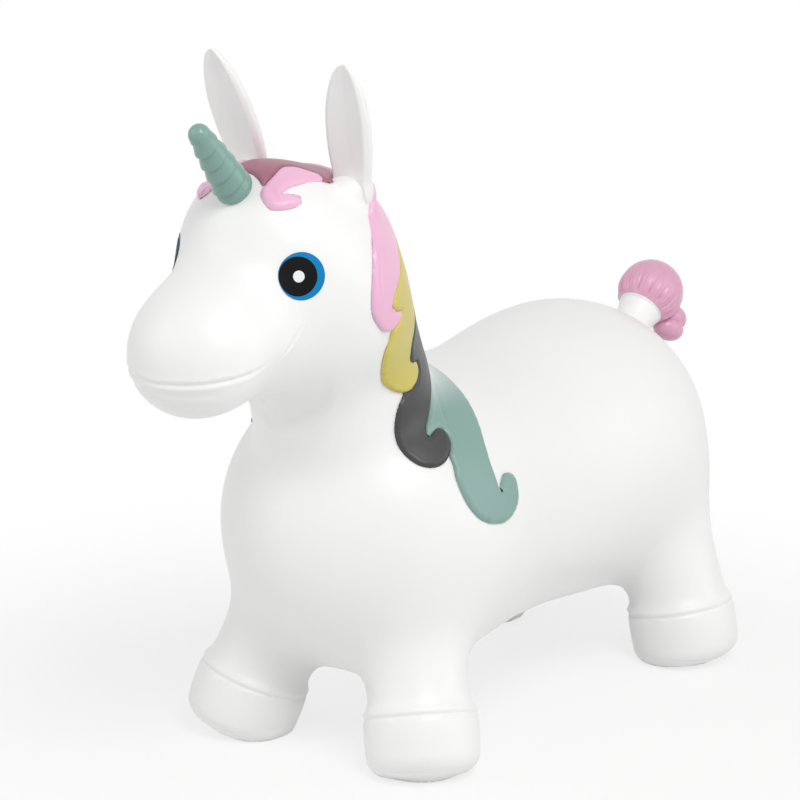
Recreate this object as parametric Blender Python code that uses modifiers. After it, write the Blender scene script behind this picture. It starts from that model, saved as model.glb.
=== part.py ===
"""A bouncy ride-on unicorn: one inflated, rotationally moulded PVC skin with moulded relief, ears that are held
as grips, a horn, a tail and an air valve. The animal faces -Y, its left side is +X, and it stands on z = 0. The skin
is one smooth surface, given by skin_distance, and its sections are divided at the moulded creases."""

import math

import bmesh
import bpy
import numpy as np
from mathutils import Matrix, Vector

# Trunk: two rounded masses joined by a barrel. What the trunk carries has its height from the barrel's axis, and
# what the rump carries has its y from the rump's centre
BARREL_HEIGHT = 0.1535
TRUNK_LENGTH = 0.2265
BARREL_CHEST_RADIUS = 0.1005
BARREL_RUMP_RADIUS = 0.099
CHEST_PLACE = (0.0, -0.0745, 0.0035)
CHEST_RADII = (0.0995, 0.0985, 0.097)
RUMP_PLACE = (0.0, 0.0, 0.006)
RUMP_RADII = (0.0975, 0.106, 0.098)
TRUNK_FILLET = 0.06

# Legs and hoofs: each leg is a tapering column from a foot on the floor to a hip inside the trunk
FRONT_FOOT = (0.0825, -0.134, 0.0)
FRONT_HIP_PLACE = (0.0535, -0.107, -0.0505)
FRONT_HIP_RADIUS = 0.0285
FRONT_ANKLE_RADIUS = 0.0375
HIND_FOOT_PLACE = (0.097, 0.0315, 0.0)
HIND_HIP_PLACE = (0.07, 0.031, -0.023)
HIND_HIP_RADIUS = 0.027
HIND_ANKLE_RADIUS = 0.037
ANKLE_HEIGHT = 0.03
HOOF_RADIUS = 0.0378
HOOF_HEIGHT = 0.0525
HOOF_EDGE = 0.0135
HOOF_BULGE = 0.0018
HOOF_FILLET = 0.006
LEG_FILLET = 0.042

# Neck and head
NECK_BASE_PLACE = (0.0, -0.106, 0.0565)
NECK_TOP_PLACE = (0.0, -0.152, 0.202)
NECK_BASE_RADIUS = 0.0657
NECK_TOP_RADIUS = 0.055
NECK_FLATTENING = 1.05
NECK_FILLET = 0.018
CRANIUM_PLACE = (0.0, -0.1715, 0.183)
CRANIUM_RADII = (0.074, 0.065, 0.0955)
CRANIUM_TILT = -0.59
MUZZLE_PLACE = (0.0, -0.2645, 0.162)
MUZZLE_RADII = (0.0495, 0.0505, 0.039)
MUZZLE_TILT = -0.7
BRIDGE_DROP = 0.01
BRIDGE_BROW_RADIUS = 0.0545
BRIDGE_NOSE_RADIUS = 0.035
HEAD_FILLET = 0.055
BRIDGE_FILLET = 0.03
THROAT_FILLET = 0.026

# Skin, seams and fits
WALL = 0.0024
SOLE = 0.004
SEAM = 0.0003
SEAT_GAP = 0.0003
PLAY = 0.0004

# Where the skin is divided: the leg skins stand on the hoofs' cuffs
LEG_SKIN_HEIGHT = 0.0195
LEG_TOP = HOOF_HEIGHT + LEG_SKIN_HEIGHT
LEG_ZONE_CLEARANCE = 0.0005
NECK_SEAM_FRONT_PLACE = (0.0, -0.1785, 0.0755)
NECK_SEAM_BACK_PLACE = (0.0, -0.05, 0.1085)
THROAT_SEAM_FRONT_PLACE = (0.0, -0.2, 0.1085)
THROAT_SEAM_BACK_PLACE = (0.0, -0.08, 0.2245)

# Ears: solid leaves with a scooped front, each on a ball root in a round seat
EAR_ROOT_PLACE = (0.0417, -0.16, 0.2575)
EAR_DIRECTION = (0.152, -0.3, 0.94)
EAR_LENGTH = 0.085
EAR_HALF_WIDTH = 0.0172
EAR_HALF_DEPTH = 0.0105
EAR_WIDEST = 0.37
EAR_LOWER_FULLNESS = 0.8
EAR_TIP_FULLNESS = 0.45
EAR_STEM_FADE = 4
EAR_STEM_RADIUS = 0.0085
EAR_BALL_RADIUS = 0.011
EAR_SCOOP = (0.0125, 0.0095, 0.041)
EAR_SCOOP_HEIGHT = 0.041
EAR_SCOOP_FORWARD = 0.0095
EAR_CLEARANCE_RADIUS = 0.0165
EAR_MOUND_RADIUS = 0.0125
EAR_MOUND_FILLET = 0.012

# Horn: a blunt cone with spiral bands on a low collar
HORN_BASE_PLACE = (0.0, -0.2288, 0.2569)
HORN_TIP_PLACE = (0.0, -0.265, 0.299)
HORN_BASE_RADIUS = 0.0121
HORN_TIP_RADIUS = 0.0068
HORN_BAND_RELIEF = 0.0011
HORN_BANDS = 5
HORN_BAND_ROUNDNESS = 0.6
HORN_BAND_SUNK = 0.7
HORN_BAND_FADE = 6
HORN_PIVOT_DEPTH = 0.006
HORN_COLLAR_DROP = 0.002
HORN_COLLAR_RADIUS = 0.0155
HORN_COLLAR_FILLET = 0.008

# Tail: a white stalk that carries a pleated tuft with two curled ends
TAIL_ROOT_PLACE = (0.0, 0.0875, 0.07)
TUFT_PLACE = (0.0, 0.1245, 0.0965)
TUFT_RADIUS = 0.025
TUFT_PLEATS = 9
TUFT_PLEAT_DEPTH = 0.0012
PLEAT_ROUNDNESS = 0.5
PLEAT_SUNK = 0.8
TAIL_BALL_RADIUS = 0.0135
TAIL_WAIST_RADIUS = 0.0105
TAIL_STALK_RADIUS = 0.0135
TAIL_STALK_REACH = 0.012
TAIL_STALK_EDGE = 0.003
TAIL_STALK_STRAIGHT = 0.72
TAIL_STALK_TAPER = 0.5
TAIL_MOUND_RADIUS = 0.0155
TAIL_MOUND_FILLET = 0.02
CURL_PLACES = ((0.0075, 0.1455, 0.069), (-0.0075, 0.142, 0.063))
CURL_RADII = (0.0135, 0.0115, 0.0165)
CURL_TILT = -0.75

# Mane and forelock: raised relief on the skin
RELIEF = 0.003
# Side outlines of each lock, as y and the height above the barrel's axis, from its root on the neck's ridge to
# its curl; True marks a sharp corner
PINK_LOCK = (
    (-0.1490, 0.2865, True), (-0.1510, 0.2515, False), (-0.1605, 0.2325, False), (-0.1725, 0.2175, False),
    (-0.1805, 0.1965, False), (-0.1810, 0.1780, False), (-0.1735, 0.1670, False), (-0.1645, 0.1615, False),
    (-0.1545, 0.1630, False), (-0.1465, 0.1710, False), (-0.1540, 0.1730, False), (-0.1615, 0.1785, True),
    (-0.1570, 0.1855, False), (-0.1480, 0.1920, False), (-0.1380, 0.1995, False), (-0.1200, 0.2135, False),
    (-0.0600, 0.2315, True), (-0.0600, 0.2865, True),
)
YELLOW_LOCK = (
    (-0.1685, 0.1915, True), (-0.1690, 0.1745, True), (-0.1585, 0.1675, False), (-0.1580, 0.1545, False),
    (-0.1595, 0.1445, False), (-0.1555, 0.1315, False), (-0.1485, 0.1210, False), (-0.1390, 0.1145, False),
    (-0.1300, 0.1110, False), (-0.1200, 0.1110, False), (-0.1120, 0.1155, False), (-0.1085, 0.1220, False),
    (-0.1110, 0.1285, False), (-0.1155, 0.1285, False), (-0.1215, 0.1320, True), (-0.1205, 0.1420, False),
    (-0.1110, 0.1530, False), (-0.0980, 0.1645, False), (-0.0400, 0.1915, True), (-0.0400, 0.2565, True),
    (-0.1300, 0.2465, True),
)
CHARCOAL_LOCK = (
    (-0.1295, 0.1210, True), (-0.1295, 0.1070, False), (-0.1340, 0.1010, False), (-0.1350, 0.0895, False),
    (-0.1350, 0.0795, False), (-0.1335, 0.0710, False), (-0.1305, 0.0645, False), (-0.1255, 0.0610, False),
    (-0.1185, 0.0605, False), (-0.1105, 0.0635, False), (-0.1045, 0.0685, False), (-0.1005, 0.0735, False),
    (-0.0990, 0.0785, False), (-0.1010, 0.0815, False), (-0.1065, 0.0805, False), (-0.1135, 0.0770, True),
    (-0.1115, 0.0825, False), (-0.1045, 0.0895, False), (-0.0950, 0.0985, False), (-0.0860, 0.1090, False),
    (-0.0800, 0.1230, False), (-0.0660, 0.1355, False), (-0.0200, 0.1585, True), (-0.0200, 0.2065, True),
    (-0.1350, 0.1765, True),
)
SAGE_LOCK = (
    (-0.105, 0.1315, True), (-0.118, 0.0965, True), (-0.119, 0.0765, True), (-0.1095, 0.0725, False),
    (-0.1075, 0.0635, False), (-0.1105, 0.0515, False),
    (-0.1095, 0.0375, False), (-0.1045, 0.0275, False), (-0.0975, 0.0215, False), (-0.0885, 0.0185, False),
    (-0.0795, 0.0175, False), (-0.0695, 0.0205, False), (-0.0615, 0.0265, False), (-0.0575, 0.0355, False),
    (-0.0575, 0.0435, False), (-0.0625, 0.0470, False), (-0.0695, 0.0465, False), (-0.0785, 0.0380, True),
    (-0.0785, 0.0465, False), (-0.0775, 0.0565, False), (-0.0735, 0.0675, False), (-0.0665, 0.0785, False),
    (-0.0595, 0.0885, False), (-0.052, 0.0995, False), (-0.040, 0.1125, False), (0.0, 0.1315, True),
    (0.0, 0.1765, True),
)
# Plan outlines (x, y) of the left forelock and of the crest between the ears
FORELOCK = (
    (0.0175, -0.2235, True), (0.0185, -0.2270, True), (0.0220, -0.2290, False), (0.0280, -0.2295, False),
    (0.0330, -0.2265, False), (0.0380, -0.2210, False), (0.0405, -0.2150, False), (0.0390, -0.2110, False),
    (0.0355, -0.2125, False), (0.0295, -0.2190, True), (0.0305, -0.2120, False), (0.0325, -0.2030, False),
    (0.0335, -0.1880, False), (0.0335, -0.1800, True), (0.0285, -0.1795, True), (0.0235, -0.1865, False),
    (0.0175, -0.1935, False), (0.0155, -0.2010, False), (0.0178, -0.2140, False),
)
CREST = (
    (-0.0100, -0.2190, True), (0.0100, -0.2190, True), (0.0185, -0.2235, True), (0.0205, -0.2140, True),
    (0.0190, -0.2020, True), (0.0205, -0.1950, True), (0.0260, -0.1885, True), (0.0315, -0.1825, True),
    (0.0350, -0.1765, True), (0.0355, -0.1660, True), (0.0300, -0.1525, True), (-0.0300, -0.1525, True),
    (-0.0355, -0.1660, True), (-0.0350, -0.1765, True), (-0.0315, -0.1825, True), (-0.0260, -0.1885, True),
    (-0.0205, -0.1950, True), (-0.0190, -0.2020, True), (-0.0205, -0.2140, True), (-0.0185, -0.2235, True),
)
# The right side's locks lean back below this height above the barrel's axis, all of the way once they are under it by
# the drop
RIGHT_LEAN = 0.009
RIGHT_LEAN_TOP = 0.125
RIGHT_LEAN_DROP = 0.03
RELIEF_FLOOR_RISE = 0.2165
HORN_CLEARANCE_RADIUS = 0.0165

# Eyes: three printed discs on each side of the head
EYE_SPOT = (0.051, -0.2265, 0.2071)
IRIS_RADIUS = 0.0155
PUPIL_RADIUS = 0.0128
PUPIL_FORWARD = 0.0025
GLINT_RADIUS = 0.0038
GLINT_FORWARD = 0.0021
PRINT_THICKNESS = 0.0005

# Air valve in the belly: a moulded seat and a push-in plug
VALVE_AHEAD_OF_RUMP = 0.122
VALVE_SET_BACK = 0.001
VALVE_SEAT_RADIUS = 0.0105
VALVE_SEAT_DEPTH = 0.006
VALVE_BORE_RADIUS = 0.0042
PLUG_FLANGE_RADIUS = 0.0085
PLUG_FLANGE_THICKNESS = 0.0016
PLUG_LENGTH = 0.013
PLUG_CHAMFER = 0.0007
PLUG_NOSE_RADIUS = 0.0023
PLUG_NOSE_LENGTH = 0.0033

# Shares of a radius: how deep a root's mound starts under the root, and how far under it the mound is rounded
MOUND_DEPTH = 2.0
MOUND_CROWN = 0.6

# How finely the skin is divided
SKIN_VOXEL = 0.007
SKIN_SHARE_KEPT = 0.06
MIDDLE_SNAP = 0.0012
MERGE = 0.000002
MIRROR_MERGE = 0.00005
OUTLINE_MERGE = 0.00001

# How far the helper bodies run
SHEET = 0.4
CUTTER_OVERRUN = 0.01


def unit(vector):
    """The vector with length 1."""
    return np.array(vector, float) / np.linalg.norm(vector)


def raised(place, along=0.0):
    """A place given from the barrel's axis, in the part's frame."""
    return np.add(place, (0, along, BARREL_HEIGHT))


def ellipsoid(points, centre, radii, tilt=0.0):
    """Distance, to first order, from an ellipsoid; a negative tilt leans its top towards the nose."""
    x, y, z = (points - centre).T
    across = y * math.cos(tilt) - z * math.sin(tilt)
    along = y * math.sin(tilt) + z * math.cos(tilt)
    scaled = np.stack([x, across, along]) / np.array(radii)[:, None]
    reach = np.sqrt((scaled**2).sum(0))
    slope = np.sqrt(((scaled / np.array(radii)[:, None]) ** 2).sum(0))
    return reach * (reach - 1) / np.maximum(slope, 1e-9)


def round_cone(points, start, end, start_radius, end_radius):
    """Distance from the hull of two spheres."""
    axis = np.subtract(end, start)
    length_sq = axis @ axis
    narrowing = start_radius - end_radius
    a2 = length_sq - narrowing**2
    along = (points - start) @ axis
    beyond = along - length_sq
    offset = (points - start) * length_sq - along[:, None] * axis
    across_sq = (offset**2).sum(1)
    y2 = along**2 * length_sq
    z2 = beyond**2 * length_sq
    k = np.sign(narrowing) * narrowing**2 * across_sq
    past_end = np.sqrt(across_sq + z2) / length_sq - end_radius
    before_start = np.sqrt(across_sq + y2) / length_sq - start_radius
    between = (np.sqrt(across_sq * a2 / length_sq) + along * narrowing) / length_sq - start_radius
    result = np.where(np.sign(along) * a2 * y2 < k, before_start, between)
    return np.where(np.sign(beyond) * a2 * z2 > k, past_end, result)


def swell(fillet):
    """How far a fillet pushes the skin out where the two surfaces that it joins cross."""
    return fillet / 6


def blend(first, second, fillet):
    """The union of two distances with a fillet."""
    near = np.maximum(fillet - np.abs(first - second), 0) / fillet
    return np.minimum(first, second) - near**3 * swell(fillet)


def drum(points, base, axis, radius, height, edge, bulge):
    """Distance from an upright rounded drum whose side bulges."""
    offset = points - base
    along = offset @ axis
    across = np.sqrt(np.maximum((offset**2).sum(1) - along**2, 0))
    share = np.clip(along / height, 0, 1)
    out = across - (radius + bulge * 4 * share * (1 - share) - edge)
    up = np.abs(along - height / 2) - (height / 2 - edge)
    outside = np.sqrt(np.maximum(out, 0) ** 2 + np.maximum(up, 0) ** 2)
    return np.minimum(np.maximum(out, up), 0) + outside - edge


def leg_distance(points, body, foot, hip, hip_radius, ankle_radius):
    """Joins one leg and its hoof to the body."""
    axis = unit(np.subtract(hip, foot))
    column = round_cone(points, hip, foot + axis * ANKLE_HEIGHT, hip_radius, ankle_radius)
    hoof = drum(points, foot, axis, HOOF_RADIUS, HOOF_HEIGHT, HOOF_EDGE, HOOF_BULGE)
    return blend(blend(body, column, LEG_FILLET), hoof, HOOF_FILLET)


def mound(points, root, axis, radius):
    """Distance from the round-ended column that stands under a root."""
    low = root - axis * radius * MOUND_DEPTH
    high = root - axis * radius * MOUND_CROWN
    return round_cone(points, low, high, radius, radius)


def skin_distance(points):
    """Distance of each point from the outside of the skin, negative inside, before the soles are cut flat. Both
    sides are alike."""
    points = np.array(points, float)
    points[:, 0] = np.abs(points[:, 0])
    chest = ellipsoid(points, CHEST_CENTRE, CHEST_RADII)
    rump = ellipsoid(points, RUMP_CENTRE, RUMP_RADII)
    barrel = round_cone(
        points,
        (0, CHEST_CENTRE[1], BARREL_HEIGHT),
        (0, RUMP_CENTRE[1], BARREL_HEIGHT),
        BARREL_CHEST_RADIUS,
        BARREL_RUMP_RADIUS,
    )
    body = blend(blend(chest, rump, TRUNK_FILLET), barrel, TRUNK_FILLET)
    body = leg_distance(points, body, FRONT_FOOT, FRONT_HIP, FRONT_HIP_RADIUS, FRONT_ANKLE_RADIUS)
    body = leg_distance(points, body, HIND_FOOT, HIND_HIP, HIND_HIP_RADIUS, HIND_ANKLE_RADIUS)
    flattened = points * (NECK_FLATTENING, 1, 1)
    neck = round_cone(flattened, NECK_BASE, NECK_TOP, NECK_BASE_RADIUS, NECK_TOP_RADIUS)
    body = blend(body, neck, NECK_FILLET)
    cranium = ellipsoid(points, CRANIUM_CENTRE, CRANIUM_RADII, CRANIUM_TILT)
    muzzle = ellipsoid(points, MUZZLE_CENTRE, MUZZLE_RADII, MUZZLE_TILT)
    bridge = round_cone(
        points,
        np.subtract(CRANIUM_CENTRE, (0, 0, BRIDGE_DROP)),
        MUZZLE_CENTRE,
        BRIDGE_BROW_RADIUS,
        BRIDGE_NOSE_RADIUS,
    )
    head = blend(blend(cranium, muzzle, HEAD_FILLET), bridge, BRIDGE_FILLET)
    body = blend(body, head, THROAT_FILLET)
    collar_top = HORN_BASE - HORN_AXIS * (HORN_COLLAR_DROP + HORN_COLLAR_RADIUS)
    collar = round_cone(
        points, collar_top - HORN_AXIS * HORN_COLLAR_RADIUS, collar_top, HORN_COLLAR_RADIUS, HORN_COLLAR_RADIUS
    )
    body = blend(body, collar, HORN_COLLAR_FILLET)
    body = blend(body, mound(points, EAR_ROOT, EAR_AXIS, EAR_MOUND_RADIUS), EAR_MOUND_FILLET)
    return blend(body, mound(points, TAIL_ROOT, TAIL_AXIS, TAIL_MOUND_RADIUS), TAIL_MOUND_FILLET)


def skin_slope(points, step=0.0002):
    """Gradient of skin_distance."""
    slope = np.empty_like(points)
    for axis in range(3):
        shift = np.zeros(3)
        shift[axis] = step
        slope[:, axis] = (skin_distance(points + shift) - skin_distance(points - shift)) / (2 * step)
    return slope


def settle(points, offset=0.0, rounds=8):
    """Moves the points onto the surface that lies offset outside the skin."""
    points = np.array(points, float)
    for _ in range(rounds):
        slope = skin_slope(points)
        steep = np.maximum((slope**2).sum(1), 0.2)
        miss = skin_distance(points) - offset
        points -= slope * (miss / steep)[:, None]
    return points


def surface_point(start, direction):
    """Where a line from inside the skin leaves it."""
    low, high = 0.0, SHEET
    for _ in range(40):
        middle = (low + high) / 2
        inside = skin_distance(np.array([start + direction * middle]))[0] < 0
        low, high = (middle, high) if inside else (low, middle)
    return start + direction * low


RUMP_Y = CHEST_PLACE[1] + TRUNK_LENGTH
CHEST_CENTRE = raised(CHEST_PLACE)
RUMP_CENTRE = raised(RUMP_PLACE, RUMP_Y)
FRONT_HIP = raised(FRONT_HIP_PLACE)
HIND_HIP = raised(HIND_HIP_PLACE, RUMP_Y)
NECK_BASE = raised(NECK_BASE_PLACE)
NECK_TOP = raised(NECK_TOP_PLACE)
CRANIUM_CENTRE = raised(CRANIUM_PLACE)
MUZZLE_CENTRE = raised(MUZZLE_PLACE)
NECK_SEAM_FRONT = raised(NECK_SEAM_FRONT_PLACE)
NECK_SEAM_BACK = raised(NECK_SEAM_BACK_PLACE)
THROAT_SEAM_FRONT = raised(THROAT_SEAM_FRONT_PLACE)
THROAT_SEAM_BACK = raised(THROAT_SEAM_BACK_PLACE)
EAR_ROOT = raised(EAR_ROOT_PLACE)
HORN_BASE = raised(HORN_BASE_PLACE)
HORN_TIP_CENTRE = raised(HORN_TIP_PLACE)
TAIL_ROOT = raised(TAIL_ROOT_PLACE, RUMP_Y)
TUFT_CENTRE = raised(TUFT_PLACE, RUMP_Y)
EYE_PLACE = raised(EYE_SPOT)
HIND_FOOT = np.add(HIND_FOOT_PLACE, (0, RUMP_Y, 0))
CURL_CENTRES = [raised(place, RUMP_Y) for place in CURL_PLACES]
RELIEF_FLOOR = BARREL_HEIGHT + RELIEF_FLOOR_RISE
VALVE_Y = RUMP_Y - VALVE_AHEAD_OF_RUMP
EAR_AXIS = unit(EAR_DIRECTION)
HORN_AXIS = unit(np.subtract(HORN_TIP_CENTRE, HORN_BASE))
TAIL_AXIS = unit(np.subtract(TUFT_CENTRE, TAIL_ROOT))
FRONT_LEG_AXIS = unit(np.subtract(FRONT_HIP, FRONT_FOOT))
HIND_LEG_AXIS = unit(np.subtract(HIND_HIP, HIND_FOOT))


def clear_scene():
    """Removes what a new file holds."""
    for obj in list(bpy.data.objects):
        bpy.data.objects.remove(obj, do_unlink=True)


def new_collection(name):
    collection = bpy.data.collections.new(name)
    bpy.context.scene.collection.children.link(collection)
    return collection


def plastic(name, colour, roughness):
    """A moulded or sprayed PVC finish."""
    material = bpy.data.materials.new(name)
    material.use_nodes = True
    shader = material.node_tree.nodes["Principled BSDF"]
    shader.inputs["Base Color"].default_value = (*colour, 1)
    shader.inputs["Roughness"].default_value = roughness
    shader.inputs["Metallic"].default_value = 0
    return material


def mesh_object(name, bm, collection):
    """An object from a bmesh, with its faces turned out."""
    bmesh.ops.recalc_face_normals(bm, faces=bm.faces)
    mesh = bpy.data.meshes.new(name)
    bm.to_mesh(mesh)
    bm.free()
    obj = bpy.data.objects.new(name, mesh)
    collection.objects.link(obj)
    return obj


def cutter(name, bm):
    """A helper body that shapes the parts and isn't one."""
    obj = mesh_object(name, bm, CUTTERS)
    obj.hide_render = True
    obj.display_type = "WIRE"
    return obj


def placed(centre, axis=(0, 0, 1), scale=(1, 1, 1)):
    """A matrix that stands a body at centre, its Z along axis and its X nearest to world X."""
    up = Vector(unit(axis))
    side = Vector((1, 0, 0)) - up * up.x
    side = side.normalized() if side.length > 1e-3 else Vector((0, 1, 0))
    turn = Matrix((side, up.cross(side), up)).transposed().to_4x4()
    return Matrix.Translation(Vector(centre)) @ turn @ Matrix.Diagonal((*scale, 1))


def ball(bm, centre, radii, axis=(0, 0, 1), segments=24, rings=16):
    """Adds a sphere or an ellipsoid."""
    bmesh.ops.create_uvsphere(
        bm, u_segments=segments, v_segments=rings, radius=1, matrix=placed(centre, axis, radii)
    )


def rod(bm, start, end, start_radius, end_radius, segments=32):
    """Adds a cylinder or a cone between two points."""
    start, end = Vector(start), Vector(end)
    bmesh.ops.create_cone(
        bm,
        cap_ends=True,
        segments=segments,
        radius1=start_radius,
        radius2=end_radius,
        depth=(end - start).length,
        matrix=placed((start + end) / 2, end - start),
    )


def evaluated(obj):
    """A new mesh of the object with its modifiers, in world space."""
    bpy.context.view_layer.update()
    graph = bpy.context.evaluated_depsgraph_get()
    mesh = bpy.data.meshes.new_from_object(obj.evaluated_get(graph), depsgraph=graph)
    mesh.transform(obj.matrix_world)
    return mesh


def shaped(name, body, keep=(), remove=(), join=()):
    """A copy of body joined with some bodies, kept inside others and cut by the rest."""
    obj = bpy.data.objects.new(name, body.data.copy())
    PARTS.objects.link(obj)
    for operation, others in (("UNION", join), ("INTERSECT", keep), ("DIFFERENCE", remove)):
        for other in others:
            modifier = obj.modifiers.new(other.name, "BOOLEAN")
            modifier.operation = operation
            modifier.object = other
    mesh = evaluated(obj)
    obj.modifiers.clear()
    obj.data = mesh
    tidy(mesh)
    return obj


def tidy(mesh):
    """Joins points that coincide and turns the faces out."""
    bm = bmesh.new()
    bm.from_mesh(mesh)
    bmesh.ops.remove_doubles(bm, verts=bm.verts, dist=MERGE)
    bmesh.ops.dissolve_degenerate(bm, edges=bm.edges, dist=MERGE)
    bmesh.ops.recalc_face_normals(bm, faces=bm.faces)
    bm.to_mesh(mesh)
    bm.free()


def finish(obj, material, smooth_angle=40):
    """Gives a part its finish and its shading."""
    obj.data.materials.clear()
    obj.data.materials.append(material)
    obj.data.shade_smooth()
    obj.data.set_sharp_from_angle(angle=math.radians(smooth_angle))
    return obj


def turn_over(mesh):
    """Mirrors a mesh to the animal's other side."""
    bm = bmesh.new()
    bm.from_mesh(mesh)
    bmesh.ops.transform(bm, matrix=Matrix.Diagonal((-1, 1, 1, 1)), verts=bm.verts)
    bmesh.ops.reverse_faces(bm, faces=bm.faces)
    bm.to_mesh(mesh)
    bm.free()


def mirrored(obj, name):
    """The same part for the animal's right side."""
    mesh = obj.data.copy()
    turn_over(mesh)
    twin = bpy.data.objects.new(name, mesh)
    PARTS.objects.link(twin)
    twin.data.shade_smooth()
    return twin


def set_pivot(obj, pivot):
    """Puts the object's origin on its joint."""
    obj.data.transform(Matrix.Translation(-Vector(pivot)))
    obj.location = Vector(pivot)


def skin_blank():
    """The mesh that every skin surface shares: overlapping masses, made into one and settled on the surface."""
    bm = bmesh.new()
    ball(bm, CHEST_CENTRE, CHEST_RADII)
    ball(bm, RUMP_CENTRE, RUMP_RADII)
    barrel_start = (0, CHEST_CENTRE[1], BARREL_HEIGHT)
    rod(bm, barrel_start, (0, RUMP_CENTRE[1], BARREL_HEIGHT), BARREL_CHEST_RADIUS, BARREL_RUMP_RADIUS)
    rod(bm, NECK_BASE, NECK_TOP, NECK_BASE_RADIUS, NECK_TOP_RADIUS)
    ball(bm, CRANIUM_CENTRE, CRANIUM_RADII)
    ball(bm, MUZZLE_CENTRE, MUZZLE_RADII)
    rod(bm, CRANIUM_CENTRE, MUZZLE_CENTRE, BRIDGE_BROW_RADIUS, BRIDGE_NOSE_RADIUS)
    for side in (1, -1):
        for foot, hip, radius in (
            (FRONT_FOOT, FRONT_HIP, FRONT_ANKLE_RADIUS),
            (HIND_FOOT, HIND_HIP, HIND_ANKLE_RADIUS),
        ):
            rod(bm, np.multiply(foot, (side, 1, 1)), np.multiply(hip, (side, 1, 1)), radius, radius)
    blank = mesh_object("skin_blank", bm, CUTTERS)
    remesh = blank.modifiers.new("one_skin", "REMESH")
    remesh.mode = "VOXEL"
    remesh.voxel_size = SKIN_VOXEL
    blank.data = evaluated(blank)
    blank.modifiers.clear()
    move_points(blank.data, settle(points_of(blank.data)))
    for _ in range(3):
        bm = bmesh.new()
        bm.from_mesh(blank.data)
        bmesh.ops.smooth_vert(bm, verts=bm.verts, factor=0.5, use_axis_x=True, use_axis_y=True, use_axis_z=True)
        bm.to_mesh(blank.data)
        bm.free()
        move_points(blank.data, settle(points_of(blank.data), rounds=4))
    decimate = blank.modifiers.new("fewer_faces", "DECIMATE")
    decimate.ratio = SKIN_SHARE_KEPT
    blank.data = evaluated(blank)
    blank.modifiers.clear()
    make_symmetric(blank.data)
    move_points(blank.data, settle(points_of(blank.data)))
    return blank


def make_symmetric(mesh):
    """Keeps the left half and mirrors it."""
    bm = bmesh.new()
    bm.from_mesh(mesh)
    everything = bm.verts[:] + bm.edges[:] + bm.faces[:]
    bmesh.ops.bisect_plane(
        bm, geom=everything, plane_co=(0, 0, 0), plane_no=(1, 0, 0), clear_inner=True, dist=MIDDLE_SNAP
    )
    for vertex in bm.verts:
        if vertex.is_boundary:
            vertex.co.x = 0
    bmesh.ops.mirror(
        bm,
        geom=bm.verts[:] + bm.edges[:] + bm.faces[:],
        merge_dist=MIRROR_MERGE,
        axis="X",
        matrix=Matrix.Identity(4),
    )
    bmesh.ops.recalc_face_normals(bm, faces=bm.faces)
    bmesh.ops.triangulate(bm, faces=bm.faces)
    bm.to_mesh(mesh)
    bm.free()


def points_of(mesh):
    points = np.empty(len(mesh.vertices) * 3)
    mesh.vertices.foreach_get("co", points)
    return points.reshape(-1, 3)


def move_points(mesh, points):
    mesh.vertices.foreach_set("co", points.ravel())
    mesh.update()


def skin_at(blank, offset, name, lowest=0.0):
    """The whole skin's surface, grown or shrunk by offset and cut flat at its lowest height, as a helper."""
    obj = bpy.data.objects.new(name, blank.data.copy())
    CUTTERS.objects.link(obj)
    obj.hide_render = True
    obj.display_type = "WIRE"
    move_points(obj.data, settle(points_of(blank.data), offset))
    bm = bmesh.new()
    bmesh.ops.create_cube(bm, size=SHEET * 2, matrix=Matrix.Translation((0, 0, lowest + SHEET)))
    flat = obj.modifiers.new("flat_sole", "BOOLEAN")
    flat.operation = "INTERSECT"
    flat.object = cutter(name + "_above", bm)
    obj.data = evaluated(obj)
    obj.modifiers.clear()
    tidy(obj.data)
    return obj


def half_space(name, front, back, above, seam):
    """A slab on one side of the plane through front and back, which is square to the animal's side."""
    front, back = np.array(front), np.array(back)
    along = unit(back - front)
    normal = np.array((0, -along[2], along[1]))
    normal = normal if above else -normal
    middle = (front + back) / 2 + normal * (seam + SHEET / 2)
    bm = bmesh.new()
    bmesh.ops.create_cube(bm, size=SHEET, matrix=placed(middle, normal))
    return cutter(name, bm)


def leg_zone(name, foot, axis, low, high, radius):
    """A cylinder round one leg."""
    bm = bmesh.new()
    rod(bm, foot + axis * low, foot + axis * high, radius, radius)
    return cutter(name, bm)


def prism(name, outline, grown, plan):
    """A straight-sided body on an outline that is smooth except at its corners, along X, or along Z in plan."""
    curve = bpy.data.curves.new(name, "CURVE")
    curve.dimensions = "2D"
    curve.fill_mode = "BOTH"
    curve.resolution_u = 2
    curve.offset = grown
    curve.extrude = SHEET / 2 + (CUTTER_OVERRUN if grown else 0)
    spline = curve.splines.new("BEZIER")
    spline.bezier_points.add(len(outline) - 1)
    for point, (across, up, corner) in zip(spline.bezier_points, outline):
        point.co = (across, up if plan else BARREL_HEIGHT + up, 0)
        point.handle_left_type = point.handle_right_type = "VECTOR" if corner else "AUTO"
    spline.use_cyclic_u = True
    guide = bpy.data.objects.new(name, curve)
    CUTTERS.objects.link(guide)
    if not plan:
        guide.matrix_world = Matrix(((0, 0, 1, 0), (1, 0, 0, 0), (0, 1, 0, 0), (0, 0, 0, 1)))
    bm = bmesh.new()
    bm.from_mesh(evaluated(guide))
    bpy.data.objects.remove(guide)
    bmesh.ops.remove_doubles(bm, verts=bm.verts, dist=OUTLINE_MERGE)
    shift = (0, 0, RELIEF_FLOOR + SHEET / 2) if plan else (SEAM / 2 + SHEET / 2, 0, 0)
    bmesh.ops.translate(bm, vec=shift, verts=bm.verts)
    return cutter(name, bm)


def leaned(outline):
    """A lock's outline on the right side, where the lower locks lean back."""
    made = []
    for along, up, corner in outline:
        share = min(max((RIGHT_LEAN_TOP - up) / RIGHT_LEAN_DROP, 0), 1)
        made.append((along + RIGHT_LEAN * share, up, corner))
    return made


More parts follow.
